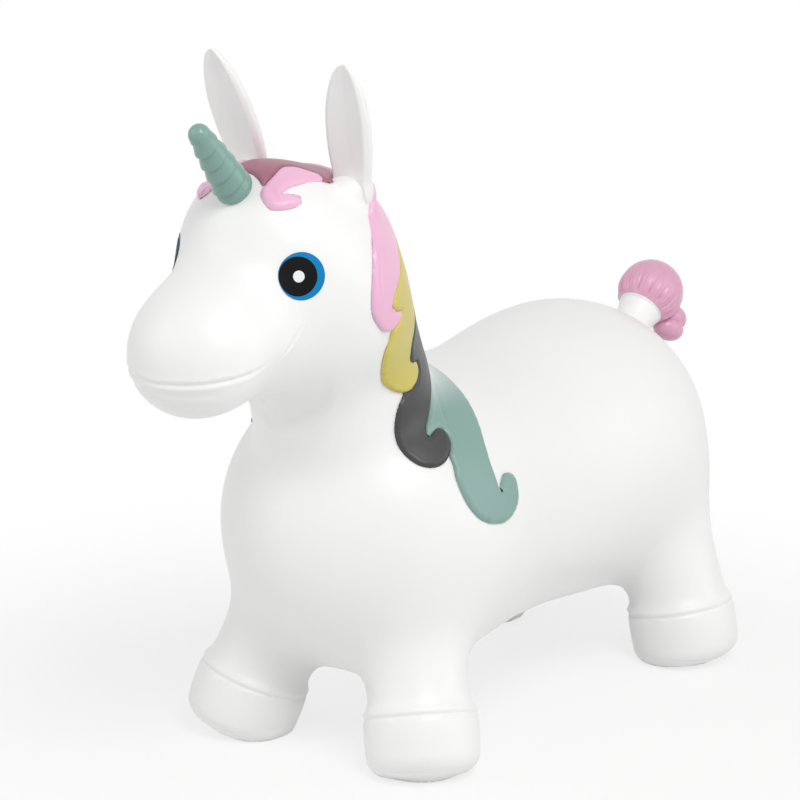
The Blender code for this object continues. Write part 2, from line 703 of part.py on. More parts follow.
def sphere_cutter(name, centre, radius, segments=24, rings=16):
    bm = bmesh.new()
    ball(bm, centre, (radius,) * 3, segments=segments, rings=rings)
    return cutter(name, bm)


def make_legs(outside, hollow):
    """Leg skins and hoofs, left and right, and the zones that they take from the trunk. A zone is as wide as the
    hoof with the fillet round it."""
    taken = []
    radius = HOOF_RADIUS + HOOF_BULGE + swell(LEG_FILLET) + LEG_ZONE_CLEARANCE
    below = -HOOF_RADIUS
    for place, foot, axis in (("front", FRONT_FOOT, FRONT_LEG_AXIS), ("hind", HIND_FOOT, HIND_LEG_AXIS)):
        hoof_zone = leg_zone(place + "_hoof_zone", foot, axis, below, HOOF_HEIGHT - SEAM / 2, radius)
        low, high = HOOF_HEIGHT + SEAM / 2, LEG_TOP - SEAM / 2
        skin_zone = leg_zone(place + "_skin_zone", foot, axis, low, high, radius)
        hoof = shaped("hoof_" + place + "_left", outside, keep=(hoof_zone,), remove=(hollow,))
        skin = shaped("leg_skin_" + place + "_left", outside, keep=(skin_zone,), remove=(hollow,))
        for part in (hoof, skin):
            finish(part, WHITE)
            mirrored(part, part.name.replace("left", "right"))
        for side in (1, -1):
            flip = np.array((side, 1, 1))
            name = f"{place}_zone_{side}"
            taken.append(leg_zone(name, foot * flip, axis * flip, below, LEG_TOP + SEAM / 2, radius + SEAM))
    return taken


def make_skin(outside, hollow):
    """Trunk, neck and head skins with their openings."""
    taken = make_legs(outside, hollow)
    belly = surface_point(np.array((0, VALVE_Y, BARREL_HEIGHT)), np.array((0, 0, -1.0)))
    bm = bmesh.new()
    rod(bm, belly - (0, 0, HOOF_RADIUS), belly + (0, 0, HOOF_RADIUS), *(VALVE_SEAT_RADIUS + SEAT_GAP,) * 2)
    valve_hole = cutter("valve_hole", bm)
    tail_seat = sphere_cutter("tail_seat", TAIL_ROOT, TAIL_BALL_RADIUS + PLAY)
    above_neck = half_space("above_neck_seam", NECK_SEAM_FRONT, NECK_SEAM_BACK, True, -SEAM / 2)
    trunk = shaped("trunk_skin", outside, remove=(hollow, above_neck, *taken, valve_hole, tail_seat))
    neck_low = half_space("neck_low", NECK_SEAM_FRONT, NECK_SEAM_BACK, True, SEAM / 2)
    neck_high = half_space("neck_high", THROAT_SEAM_FRONT, THROAT_SEAM_BACK, False, SEAM / 2)
    neck = shaped("neck_skin", outside, keep=(neck_low, neck_high), remove=(hollow,))
    head_low = half_space("head_low", THROAT_SEAM_FRONT, THROAT_SEAM_BACK, True, SEAM / 2)
    seats = [sphere_cutter("horn_seat", HORN_PIVOT, HORN_SEAT_RADIUS + PLAY)]
    for side in (1, -1):
        root = EAR_ROOT * np.array((side, 1, 1))
        seats.append(sphere_cutter(f"ear_seat_{side}", root, EAR_BALL_RADIUS + PLAY))
    head = shaped("head_skin", outside, keep=(head_low,), remove=(hollow, *seats))
    for part in (trunk, neck, head):
        finish(part, WHITE)
    return belly


def make_mane(relief, seat):
    """Raised locks on both sides, each one lying over the next, with the forelock and the crest. It returns the
    left forelock's outline, which the eye stays clear of."""
    ears = [
        sphere_cutter(f"ear_clearance_{side}", EAR_ROOT * np.array((side, 1, 1)), EAR_CLEARANCE_RADIUS)
        for side in (1, -1)
    ]
    horn = sphere_cutter("horn_clearance", HORN_PIVOT, HORN_CLEARANCE_RADIUS)
    for side in ("left", "right"):
        over = []
        for colour, outline, material in (
            ("pink", PINK_LOCK, PINK),
            ("yellow", YELLOW_LOCK, YELLOW),
            ("charcoal", CHARCOAL_LOCK, CHARCOAL),
            ("sage", SAGE_LOCK, SAGE),
        ):
            outline = outline if side == "left" else leaned(outline)
            body = prism(f"{colour}_outline_{side}", outline, 0, False)
            lock = shaped(f"mane_{colour}_{side}", body, keep=(relief,), remove=(seat, *over, ears[0]))
            if side == "right":
                turn_over(lock.data)
            finish(lock, material)
            over.append(prism(f"{colour}_over_{side}", outline, SEAM, False))
    body = prism("forelock_outline", FORELOCK, 0, True)
    lock = shaped("forelock_left", body, keep=(relief,), remove=(seat, horn, ears[0]))
    finish(lock, PINK)
    mirrored(lock, "forelock_right")
    right = [(-across, along, corner) for across, along, corner in reversed(FORELOCK)]
    locks = [prism("forelock_over_left", FORELOCK, SEAM, True), prism("forelock_over_right", right, SEAM, True)]
    body = prism("crest_outline", CREST, 0, True)
    finish(shaped("poll_crest", body, keep=(relief,), remove=(seat, horn, *ears, *locks)), MAUVE)
    return locks[0]


def make_eyes(blank, forelock):
    """Printed discs, each one lying on the last, that stop at the forelock."""
    centre = settle([EYE_PLACE])[0]
    outward = unit(skin_slope(np.array([centre]))[0])
    forward = unit(np.cross(outward, (0, 0, 1)))
    forward = -forward if forward[1] > 0 else forward
    lift = SEAT_GAP
    for name, radius, shift, material in (
        ("iris", IRIS_RADIUS, 0.0, BLUE),
        ("pupil", PUPIL_RADIUS, PUPIL_FORWARD, BLACK),
        ("glint", GLINT_RADIUS, GLINT_FORWARD, GLOSS_WHITE),
    ):
        middle = centre + forward * shift
        bm = bmesh.new()
        rod(bm, middle - outward * IRIS_RADIUS, middle + outward * IRIS_RADIUS, radius, radius, segments=24)
        body = cutter(name + "_outline", bm)
        under = skin_at(blank, lift, name + "_under")
        top = skin_at(blank, lift + PRINT_THICKNESS, name + "_top")
        disc = shaped(f"eye_{name}_left", body, keep=(top,), remove=(under, forelock))
        finish(disc, material)
        mirrored(disc, f"eye_{name}_right")
        lift += PRINT_THICKNESS + SEAT_GAP


def ear_girth(share):
    """Half width of the ear at a share of its length, as a share of the widest."""
    stem = EAR_STEM_RADIUS / EAR_HALF_WIDTH
    if share < EAR_WIDEST:
        return stem + (1 - stem) * math.sin(share / EAR_WIDEST * math.pi / 2) ** EAR_LOWER_FULLNESS
    return math.cos((share - EAR_WIDEST) / (1 - EAR_WIDEST) * math.pi / 2) ** EAR_TIP_FULLNESS


def make_ears():
    """Each ear is a leaf lofted along its axis, scooped in front, on a ball."""
    rings, sides = 10, 12
    place = placed(EAR_ROOT, EAR_AXIS)
    bm = bmesh.new()
    loops = []
    for ring in range(rings):
        share = (1 - math.cos(ring / rings * math.pi)) / 2
        girth = ear_girth(share)
        height = EAR_BALL_RADIUS / 2 + (EAR_LENGTH - EAR_BALL_RADIUS / 2) * share
        depth = max(EAR_HALF_DEPTH * girth, EAR_STEM_RADIUS * (1 - share * EAR_STEM_FADE))
        loop = []
        for side in range(sides):
            turn = side / sides * math.tau
            loop.append(bm.verts.new((EAR_HALF_WIDTH * girth * math.cos(turn), depth * math.sin(turn), height)))
        loops.append(loop)
    for low, high in zip(loops, loops[1:]):
        for side in range(sides):
            after = (side + 1) % sides
            bm.faces.new((low[side], low[after], high[after], high[side]))
    bm.faces.new(reversed(loops[0]))
    tip = bm.verts.new((0, 0, EAR_LENGTH))
    for side in range(sides):
        bm.faces.new((loops[-1][side], loops[-1][(side + 1) % sides], tip))
    bmesh.ops.transform(bm, matrix=place, verts=bm.verts)
    leaf = cutter("ear_leaf", bm)
    bm = bmesh.new()
    ball(bm, (0, 0, 0), EAR_SCOOP, segments=12, rings=10)
    scoop_place = place @ Matrix.Translation((0, -EAR_SCOOP_FORWARD, EAR_SCOOP_HEIGHT))
    bmesh.ops.transform(bm, matrix=scoop_place, verts=bm.verts)
    scoop = cutter("ear_scoop", bm)
    root = sphere_cutter("ear_root", EAR_ROOT, EAR_BALL_RADIUS, 16, 10)
    ear = shaped("ear_left", leaf, join=(root,), remove=(scoop,))
    finish(ear, WHITE)
    twin = mirrored(ear, "ear_right")
    set_pivot(ear, EAR_ROOT)
    set_pivot(twin, np.multiply(EAR_ROOT, (-1, 1, 1)))


def circle(bm, radius, height, sides):
    """Adds a ring of points round Z."""
    turns = [side / sides * math.tau for side in range(sides)]
    return [bm.verts.new((radius * math.cos(turn), radius * math.sin(turn), height)) for turn in turns]


def make_horn():
    """A blunt cone whose bands climb round it, closed below by a ball about its pivot."""
    length = float(np.linalg.norm(np.subtract(HORN_TIP_CENTRE, HORN_BASE)))
    rows, sides, cap_rows = 16, 14, 4
    bm = bmesh.new()
    loops = []
    for row in range(rows + 1):
        share = row / rows
        radius = HORN_BASE_RADIUS + (HORN_TIP_RADIUS - HORN_BASE_RADIUS) * share
        loop = []
        for side in range(sides):
            turn = side / sides
            phase = (share * HORN_BANDS + turn) % 1
            fade = min(1, share * HORN_BAND_FADE, (1 - share) * HORN_BAND_FADE)
            wave = math.sin(phase * math.pi) ** HORN_BAND_ROUNDNESS - HORN_BAND_SUNK
            reach = radius + HORN_BAND_RELIEF * fade * wave
            angle = turn * math.tau
            loop.append(bm.verts.new((reach * math.cos(angle), reach * math.sin(angle), length * share)))
        loops.append(loop)
    for row in range(1, cap_rows):
        bend = row / cap_rows * math.pi / 2
        reach, height = HORN_TIP_RADIUS * math.cos(bend), length + HORN_TIP_RADIUS * math.sin(bend)
        loops.append(circle(bm, reach, height, sides))
    tip = bm.verts.new((0, 0, length + HORN_TIP_RADIUS))
    low_loops = []
    start = math.atan2(HORN_BASE_RADIUS, HORN_PIVOT_DEPTH)
    for row in range(1, 7):
        bend = start + (math.pi - start) * row / 7
        reach, height = HORN_SEAT_RADIUS * math.sin(bend), HORN_SEAT_RADIUS * math.cos(bend) - HORN_PIVOT_DEPTH
        low_loops.append(circle(bm, reach, height, sides))
    bottom = bm.verts.new((0, 0, -HORN_PIVOT_DEPTH - HORN_SEAT_RADIUS))
    ladder = list(reversed(low_loops)) + loops
    for low, high in zip(ladder, ladder[1:]):
        for side in range(sides):
            after = (side + 1) % sides
            bm.faces.new((low[side], low[after], high[after], high[side]))
    for side in range(sides):
        after = (side + 1) % sides
        bm.faces.new((ladder[-1][side], ladder[-1][after], tip))
        bm.faces.new((ladder[0][after], ladder[0][side], bottom))
    bmesh.ops.transform(bm, matrix=placed(HORN_BASE, HORN_AXIS), verts=bm.verts)
    horn = finish(mesh_object("horn", bm, PARTS), SAGE)
    set_pivot(horn, HORN_PIVOT)


def turned(name, profile, place, material, steps=18):
    """A body turned about its axis from a profile of radius and height that runs from top to bottom."""
    mesh = bpy.data.meshes.new(name)
    links = [(number, number + 1) for number in range(len(profile) - 1)]
    mesh.from_pydata([(radius, 0, height) for radius, height in profile], links, [])
    obj = bpy.data.objects.new(name, mesh)
    PARTS.objects.link(obj)
    screw = obj.modifiers.new("turned", "SCREW")
    screw.steps = screw.render_steps = steps
    screw.use_merge_vertices = True
    screw.merge_threshold = OUTLINE_MERGE
    mesh = evaluated(obj)
    mesh.transform(place)
    obj.modifiers.clear()
    obj.data = mesh
    tidy(mesh)
    return finish(obj, material)


def make_tail():
    """Stalk on a ball root, and the pleated tuft with its curled ends."""
    length = float(np.linalg.norm(np.subtract(TUFT_CENTRE, TAIL_ROOT)))
    end = length - TAIL_STALK_REACH
    waist = math.acos(TAIL_WAIST_RADIUS / TAIL_BALL_RADIUS)
    edge = TAIL_STALK_EDGE
    profile = [(0, end), (TAIL_STALK_RADIUS - edge, end), (TAIL_STALK_RADIUS, end - edge)]
    profile.append((TAIL_STALK_RADIUS, end * TAIL_STALK_STRAIGHT))
    profile.append(((TAIL_STALK_RADIUS + TAIL_WAIST_RADIUS) / 2, end * TAIL_STALK_TAPER))
    for step in range(8):
        bend = waist - (waist + math.pi / 2) * step / 7
        profile.append((TAIL_BALL_RADIUS * math.cos(bend), TAIL_BALL_RADIUS * math.sin(bend)))
    profile[-1] = (0, -TAIL_BALL_RADIUS)
    place = placed(TAIL_ROOT, TAIL_AXIS)
    stalk = turned("tail_stalk", profile, place, WHITE)
    bm = bmesh.new()
    ball(bm, (0, 0, 0), (TUFT_RADIUS,) * 3, segments=TUFT_PLEATS * 3, rings=10)
    for vertex in bm.verts:
        turn = math.atan2(vertex.co.y, vertex.co.x)
        across = math.hypot(vertex.co.x, vertex.co.y) / TUFT_RADIUS
        wave = abs(math.sin(turn * TUFT_PLEATS / 2)) ** PLEAT_ROUNDNESS
        pleat = TUFT_PLEAT_DEPTH * (wave - PLEAT_SUNK)
        vertex.co *= 1 + pleat * across / TUFT_RADIUS
    bmesh.ops.transform(bm, matrix=placed(TUFT_CENTRE, TAIL_AXIS), verts=bm.verts)
    dome = cutter("tuft_dome", bm)
    curls = []
    for number, centre in enumerate(CURL_CENTRES):
        bm = bmesh.new()
        place = Matrix.Translation(centre) @ Matrix.Rotation(CURL_TILT, 4, "X") @ Matrix.Diagonal((*CURL_RADII, 1))
        bmesh.ops.create_uvsphere(bm, u_segments=12, v_segments=8, radius=1, matrix=place)
        curls.append(cutter(f"curl_{number}", bm))
    bm = bmesh.new()
    grown = TAIL_STALK_RADIUS + SEAT_GAP
    rod(bm, np.array(TAIL_ROOT), TAIL_ROOT + TAIL_AXIS * (end + SEAT_GAP), grown, grown, segments=24)
    stalk_hole = cutter("stalk_hole", bm)
    tuft = finish(shaped("tail_tuft", dome, join=curls, remove=(stalk_hole,)), TAIL_PINK)
    for part in (stalk, tuft):
        set_pivot(part, TAIL_ROOT)


def make_valve(belly):
    """The seat ring in the belly, recessed for a flange, and the plug that is pushed up into it."""
    outer, bore = VALVE_SEAT_RADIUS, VALVE_BORE_RADIUS
    recess = PLUG_FLANGE_RADIUS + SEAT_GAP
    ledge = PLUG_FLANGE_THICKNESS + 2 * SEAT_GAP
    belly = belly + np.array((0, 0, VALVE_SET_BACK))
    place = Matrix.Translation(Vector(belly))
    ring = [(bore, VALVE_SEAT_DEPTH), (outer, VALVE_SEAT_DEPTH), (outer, 0), (recess, 0), (recess, ledge)]
    ring += [(bore, ledge), (bore, VALVE_SEAT_DEPTH)]
    turned("valve_seat", ring, place, CLEAR_WHITE)
    shank = bore - SEAT_GAP
    face = ledge - SEAT_GAP
    low_face = face - PLUG_FLANGE_THICKNESS
    profile = [(0, PLUG_LENGTH), (PLUG_NOSE_RADIUS, PLUG_LENGTH), (shank, PLUG_LENGTH - PLUG_NOSE_LENGTH)]
    profile += [(shank, face), (PLUG_FLANGE_RADIUS, face), (PLUG_FLANGE_RADIUS, low_face + PLUG_CHAMFER)]
    profile += [(PLUG_FLANGE_RADIUS - PLUG_CHAMFER, low_face), (0, low_face)]
    plug = turned("valve_plug", profile, place, CLEAR_WHITE)
    set_pivot(plug, belly)


FRONT_FOOT = np.array(FRONT_FOOT)
HORN_PIVOT = HORN_BASE - HORN_AXIS * HORN_PIVOT_DEPTH
HORN_SEAT_RADIUS = math.hypot(HORN_BASE_RADIUS, HORN_PIVOT_DEPTH)

clear_scene()
PARTS = new_collection("bouncy_unicorn")
CUTTERS = new_collection("cutters")
WHITE = plastic("white_pvc", (0.9, 0.9, 0.89), 0.35)
GLOSS_WHITE = plastic("glint_white", (0.85, 0.88, 0.88), 0.3)
CLEAR_WHITE = plastic("valve_white", (0.8, 0.8, 0.79), 0.4)
PINK = plastic("mane_pink", (0.84, 0.48, 0.66), 0.35)
MAUVE = plastic("crest_mauve", (0.43, 0.18, 0.24), 0.4)
TAIL_PINK = plastic("tail_pink", (0.72, 0.4, 0.56), 0.35)
YELLOW = plastic("mane_yellow", (0.64, 0.55, 0.13), 0.35)
CHARCOAL = plastic("mane_charcoal", (0.05, 0.05, 0.055), 0.4)
SAGE = plastic("mane_sage", (0.23, 0.38, 0.32), 0.35)
BLUE = plastic("iris_blue", (0.0, 0.23, 0.55), 0.3)
BLACK = plastic("pupil_black", (0.005, 0.005, 0.006), 0.3)

BLANK = skin_blank()
OUTSIDE = skin_at(BLANK, 0.0, "skin_outside")
HOLLOW = skin_at(BLANK, -WALL, "skin_hollow", SOLE)
BELLY = make_skin(OUTSIDE, HOLLOW)
FORELOCK_OUTLINE = make_mane(
    skin_at(BLANK, SEAT_GAP + RELIEF, "relief_top"), skin_at(BLANK, SEAT_GAP, "relief_seat")
)
make_eyes(BLANK, FORELOCK_OUTLINE)
make_ears()
make_horn()
make_tail()
make_valve(BELLY)
bpy.data.objects.remove(BLANK)
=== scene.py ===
"""The bouncy unicorn as a toymaker would finish it: a blown PVC skin with moulded creases,
sprayed relief locks, printed eyes, grip ears, a banded horn and a tufted tail.
The shapes follow the same surface as the CAD parts."""

import math

import bmesh
import bpy
import numpy as np
from mathutils import Matrix, Vector


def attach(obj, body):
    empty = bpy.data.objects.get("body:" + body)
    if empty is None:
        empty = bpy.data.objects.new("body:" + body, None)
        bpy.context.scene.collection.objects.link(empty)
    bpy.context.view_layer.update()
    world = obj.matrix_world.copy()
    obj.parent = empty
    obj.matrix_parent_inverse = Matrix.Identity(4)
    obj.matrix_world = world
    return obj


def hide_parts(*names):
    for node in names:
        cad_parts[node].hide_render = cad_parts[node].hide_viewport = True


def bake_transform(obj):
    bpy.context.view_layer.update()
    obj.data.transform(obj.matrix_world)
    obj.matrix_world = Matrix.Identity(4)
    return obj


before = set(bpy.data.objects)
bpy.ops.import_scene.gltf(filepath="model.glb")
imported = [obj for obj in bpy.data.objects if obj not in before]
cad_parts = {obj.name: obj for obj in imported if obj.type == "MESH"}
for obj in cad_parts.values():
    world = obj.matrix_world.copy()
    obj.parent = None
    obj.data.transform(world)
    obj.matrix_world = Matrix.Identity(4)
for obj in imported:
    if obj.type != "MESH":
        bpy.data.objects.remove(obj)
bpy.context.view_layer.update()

# The inflated skin, in metres
CHEST = ((0.0, -0.0745, 0.157), (0.0995, 0.0985, 0.097))
RUMP = ((0.0, 0.152, 0.1595), (0.0975, 0.106, 0.098))
BARREL_HEIGHT = 0.1535
BARREL_RADII = (0.1005, 0.099)
TRUNK_FILLET = 0.06
LEGS = {
    "front": ((0.0825, -0.134, 0.0), (0.0535, -0.107, 0.103), 0.0285, 0.0375),
    "hind": ((0.097, 0.1835, 0.0), (0.07, 0.183, 0.1305), 0.027, 0.037),
}
ANKLE_HEIGHT = 0.03
HOOF_RADIUS = 0.0378
HOOF_HEIGHT = 0.0525
HOOF_EDGE = 0.0135
HOOF_BULGE = 0.0018
HOOF_FILLET = 0.006
LEG_FILLET = 0.042
LEG_TOP = 0.0638
NECK = ((0.0, -0.106, 0.21), (0.0, -0.152, 0.3555), 0.0657, 0.055)
NECK_FLATTENING = 1.05
NECK_FILLET = 0.018
CRANIUM = ((0.0, -0.1715, 0.3365), (0.074, 0.065, 0.0955), -0.59)
MUZZLE = ((0.0, -0.2645, 0.3155), (0.0495, 0.0505, 0.039), -0.7)
BRIDGE_DROP = 0.01
BRIDGE_RADII = (0.0545, 0.035)
HEAD_FILLET = 0.055
BRIDGE_FILLET = 0.03
THROAT_FILLET = 0.026
NECK_SEAM = ((0.0, -0.1785, 0.229), (0.0, -0.05, 0.262))
THROAT_SEAM = ((0.0, -0.2, 0.262), (0.0, -0.08, 0.378))

# Roots of the grips, the horn and the tail
EAR_ROOT = (0.0417, -0.16, 0.411)
EAR_DIRECTION = (0.152, -0.3, 0.94)
EAR_MOUND = (0.0125, 0.012)
HORN_BASE = (0.0, -0.2288, 0.4104)
HORN_TIP = (0.0, -0.265, 0.4525)
HORN_RADII = (0.0132, 0.0073)
HORN_BANDS = 5
HORN_COLLAR = (0.0155, 0.008, 0.002)
TAIL_ROOT = (0.0, 0.2395, 0.2235)
TUFT_CENTRE = (0.0, 0.2765, 0.25)
TUFT_RADIUS = 0.025
TAIL_MOUND = (0.0162, 0.022)

# Lock outlines, seen from the side as (y, z); True marks a sharp corner
LOCKS = {
    "pink": (
        (-0.149, 0.44, True), (-0.151, 0.405), (-0.1605, 0.386), (-0.1725, 0.371), (-0.1805, 0.35),
        (-0.181, 0.3315), (-0.1735, 0.3205), (-0.1645, 0.315), (-0.1545, 0.3165), (-0.1465, 0.3245),
        (-0.154, 0.3265), (-0.1615, 0.332, True), (-0.157, 0.339), (-0.148, 0.3455), (-0.138, 0.353),
        (-0.12, 0.367), (-0.06, 0.385, True), (-0.06, 0.44, True),
    ),
    "yellow": (
        (-0.1685, 0.345, True), (-0.169, 0.328, True), (-0.1585, 0.321), (-0.158, 0.308),
        (-0.1595, 0.298), (-0.1555, 0.285), (-0.1485, 0.2745), (-0.139, 0.268), (-0.13, 0.2645),
        (-0.12, 0.2645), (-0.112, 0.269), (-0.1085, 0.2755), (-0.111, 0.282), (-0.1155, 0.282),
        (-0.1215, 0.2855, True), (-0.1205, 0.2955), (-0.111, 0.3065), (-0.098, 0.318),
        (-0.04, 0.345, True), (-0.04, 0.41, True), (-0.13, 0.4, True),
    ),
    "charcoal": (
        (-0.125, 0.2745, True), (-0.1265, 0.264), (-0.1325, 0.254), (-0.135, 0.243), (-0.135, 0.233),
        (-0.1335, 0.2245), (-0.1305, 0.218), (-0.1255, 0.2145), (-0.1185, 0.214), (-0.1105, 0.217),
        (-0.1045, 0.222), (-0.1005, 0.227), (-0.099, 0.232), (-0.101, 0.235), (-0.1065, 0.234),
        (-0.1135, 0.2305, True), (-0.1115, 0.236), (-0.1045, 0.243), (-0.095, 0.252), (-0.086, 0.2625),
        (-0.08, 0.2765), (-0.066, 0.289), (-0.02, 0.312, True), (-0.02, 0.36, True),
        (-0.135, 0.33, True),
    ),
    "sage": (
        (-0.105, 0.285, True), (-0.118, 0.25, True), (-0.119, 0.23, True), (-0.1095, 0.226),
        (-0.1075, 0.217), (-0.1105, 0.205), (-0.1095, 0.191), (-0.1045, 0.181), (-0.0975, 0.175),
        (-0.0885, 0.172), (-0.0795, 0.171), (-0.0695, 0.174), (-0.0615, 0.18), (-0.0575, 0.189),
        (-0.0575, 0.197), (-0.0625, 0.2005), (-0.0695, 0.2), (-0.0785, 0.1915, True), (-0.0785, 0.2),
        (-0.0775, 0.21), (-0.0735, 0.221), (-0.0665, 0.232), (-0.0595, 0.242), (-0.052, 0.253),
        (-0.04, 0.266), (0.0, 0.285, True), (0.0, 0.33, True),
    ),
}
# Seen from above as (x, y)
FORELOCK = (
    (0.0175, -0.2235, True), (0.0185, -0.227, True), (0.022, -0.229), (0.028, -0.2295),
    (0.033, -0.2265), (0.038, -0.221), (0.0405, -0.215), (0.039, -0.211), (0.0355, -0.2125),
    (0.0295, -0.219, True), (0.0305, -0.212), (0.0325, -0.203), (0.0335, -0.188), (0.0335, -0.18, True),
    (0.0285, -0.1795, True), (0.0235, -0.1865), (0.0175, -0.1935), (0.0155, -0.201), (0.0178, -0.214),
)
CREST_SIDE = (
    (0.01, -0.219), (0.0185, -0.2235), (0.0205, -0.214), (0.019, -0.202), (0.0205, -0.195),
    (0.026, -0.1885), (0.0315, -0.1825), (0.035, -0.1765), (0.0355, -0.166), (0.03, -0.1525),
)
CREST = [(x, y, True) for x, y in CREST_SIDE] + [(-x, y, True) for x, y in reversed(CREST_SIDE)]
CREST_HEIGHT = 0.8
FORELOCK_FOLD = ((0.0165, -0.2220, 0.0), (0.0240, -0.2215, 0.0), (0.0320, -0.2245, 0.0))
# Folds moulded into the side locks, as lines through (y, z)
FOLDS = {
    "sage": (
        (-0.0784, 0.2566), (-0.0860, 0.2490), (-0.0922, 0.2405), (-0.0962, 0.2327), (-0.0990, 0.2250),
    ),
    "pink": ((-0.1560, 0.3980), (-0.1680, 0.3720), (-0.1740, 0.3500), (-0.1740, 0.3300)),
}
FOLD_DEPTH = 0.0008
FOLD_WIDTH = 0.0012
FORELOCK_FOLD_DEPTH = 0.0007
# The locks' height, the width of their rolled edge, their height over a lower lock, and the rim on the edge
RELIEF = 0.0025
RELIEF_EDGE = 0.0026
RELIEF_STEP = 0.0009
RELIEF_RIM = 0.0003
RIM_WIDTH = 0.0011
# The right side's locks lean back below a height, all of the way once they are under it by the drop
RIGHT_LEAN = 0.0215
RIGHT_LEAN_TOP = 0.2785
RIGHT_LEAN_DROP = 0.03
PAD_LIFT = 0.0001
# How far the locks keep clear of the ears' roots, and of a point a little under the horn's
EAR_ROOM = 0.0125
HORN_ROOM = 0.0165
HORN_ROOM_DROP = 0.006

# Printed eye, and its discs: radius, how far forward each one sits, and height
EYE_PLACE = (0.051, -0.2265, 0.3606)
EYE_DISCS = {
    "iris": (0.0155, 0.0, 0.0003),
    "pupil": (0.0128, 0.0025, 0.0005),
    "glint": (0.0038, 0.0021, 0.0007),
}
EYE_EDGE = 0.0012
EYE_FIELD = 0.03
EYE_FINE = (0.019, 0.019, 0.006)

# Creases moulded into the left half of the skin
MOUTH = (
    (0.0, -0.3124, 0.2989), (0.0075, -0.3119, 0.2992), (0.0165, -0.3097, 0.2996),
    (0.024, -0.3068, 0.3002), (0.032, -0.3018, 0.3008), (0.0385, -0.2952, 0.302),
    (0.045, -0.2862, 0.3035), (0.0495, -0.2749, 0.3055), (0.051, -0.2661, 0.308),
    (0.052, -0.2578, 0.312),
)
LIP = (
    (0.0, -0.311, 0.2925), (0.018, -0.3069, 0.2919), (0.028, -0.302, 0.2924), (0.04, -0.29, 0.293),
)
SMILE = (
    (0.05, -0.247, 0.3075), (0.051, -0.241, 0.313), (0.052, -0.236, 0.318), (0.0535, -0.2326, 0.3235),
    (0.0545, -0.2295, 0.3285), (0.0555, -0.2277, 0.335),
)
# Each crease's line, depth and half width, and whether it fades at its start too
CREASES = ((MOUTH, 0.0017, 0.0014, False), (LIP, 0.0006, 0.0022, False), (SMILE, 0.0021, 0.0012, True))
# The throat is hollowed above a U-shaped line, from its lowest height up under the jaw
THROAT_LOW = 0.2335
THROAT_RISE = 19.5
THROAT_DEPTH = 0.0045
THROAT_ROLL = 0.011
THROAT_TOP = 0.292
THROAT_TOP_FADE = 0.03
THROAT_BACK = -0.145
THROAT_BACK_FADE = 0.02
THROAT_FRONT = -0.215
# Where a leg meets its hoof: a crease under a soft lip; and the edge of the sole
CUFF_HEIGHT = 0.0405
CUFF_DEPTH = 0.0011
CUFF_WIDTH = 0.0013
CUFF_LIP = 0.0008
CUFF_LIP_RISE = 0.0032
CUFF_LIP_WIDTH = 0.0022
SOLE_EDGE = 0.0085
SOLE_DEPTH = 0.0004
SOLE_WIDTH = 0.0011
# Height under which the neck's seams don't run
SEAM_FLOOR = 0.2

# Along the ear, in mm: height over its root, half width, depth of the back,
# how far the rims stand forward, and how far the section moves out from the axis
EAR_PROFILE = (
    (-17, 2.5, 3.0, 1.0, 5.5), (-12, 6.0, 6.0, 2.0, 4.2), (-6, 9.8, 8.0, 2.8, 2.4),
    (0, 12.6, 9.2, 3.2, 1.0), (8, 15.0, 9.9, 3.4, 0.0), (16, 16.3, 10.2, 3.5, 0.0),
    (28, 17.2, 10.4, 3.5, 0.0), (40, 17.2, 10.2, 3.4, 0.0), (50, 16.7, 9.6, 3.2, 0.0),
    (60, 14.9, 8.5, 2.8, 0.0), (69, 12.5, 7.2, 2.4, 0.0), (76, 9.7, 5.7, 2.0, 0.0),
    (81, 7.0, 4.2, 1.5, 0.0), (84, 4.4, 2.7, 1.0, 0.0), (85.6, 1.6, 1.0, 0.4, 0.0),
)
EAR_RIM = 0.83
EAR_CHANNEL = 0.0028
# The ear's foot spreads where it comes this near the skin
EAR_FOOT = 0.007
EAR_SPREAD = 0.0022

# The horn's bands: how far each one steps in, the line between them, and the waist at the foot
BAND_STEP = 0.0022
BAND_LINE = 0.0006
HORN_WAIST = 0.0016
HORN_WAIST_HEIGHT = 0.0022

# The stalk flares into the tuft: radius and height over its root
STALK = (
    (0.0145, -0.006), (0.0144, 0.001), (0.0143, 0.008), (0.0144, 0.014), (0.0152, 0.020), (0.0168, 0.0264),
)
PLEATS = 7
PLEAT_DEPTH = 0.0021
FINE_PLEATS = 6
FINE_PLEAT_DEPTH = 0.00035
TUFT_INSET = 0.0002
# Each lobe's centre, radii and tilt
LOBES = (
    ((0.0090, 0.2905, 0.2285), (0.0125, 0.0140, 0.0105), -0.5),
    ((0.0115, 0.2840, 0.2215), (0.0115, 0.0130, 0.0095), -0.5),
)

# Paint: the bare skin's colour, how far up the tail the dip ends, and where the sage spray thins out
BARE_SKIN = "#F3F3F2"
DIP_START = 0.0275
DIP_EDGE = 0.0006
SAGE_BARE = 0.277
SAGE_FULL = 0.243

# Lamps: place, size, power and tint; and the strength of the light from the room
LAMPS = {
    "key": ((1.5, -1.0, 2.2), 1.1, 29, (1, 0.995, 0.985)),
    "fill": ((-1.3, -1.9, 1.5), 1.8, 13, (0.985, 0.99, 1)),
    "flank": ((2.3, 0.9, 1.0), 1.8, 11.5, (1, 1, 1)),
}
LAMP_AIM = (0, 0, 0.2)
ROOM_LIGHT = 0.44
# The paper fades to plain white between these distances
PAPER_NEAR = 0.2
PAPER_FAR = 0.6
PAPER_GLOW = 0.72

# The photograph's view
VIEW_AZIMUTH = 36.07
VIEW_ELEVATION = 14.67
VIEW_DISTANCE = 2.5992
VIEW_LENS = 162.0
VIEW_TARGET = (-0.06785, 0.066, 0.20894)

# How finely the skin is divided
VOXEL = 0.003
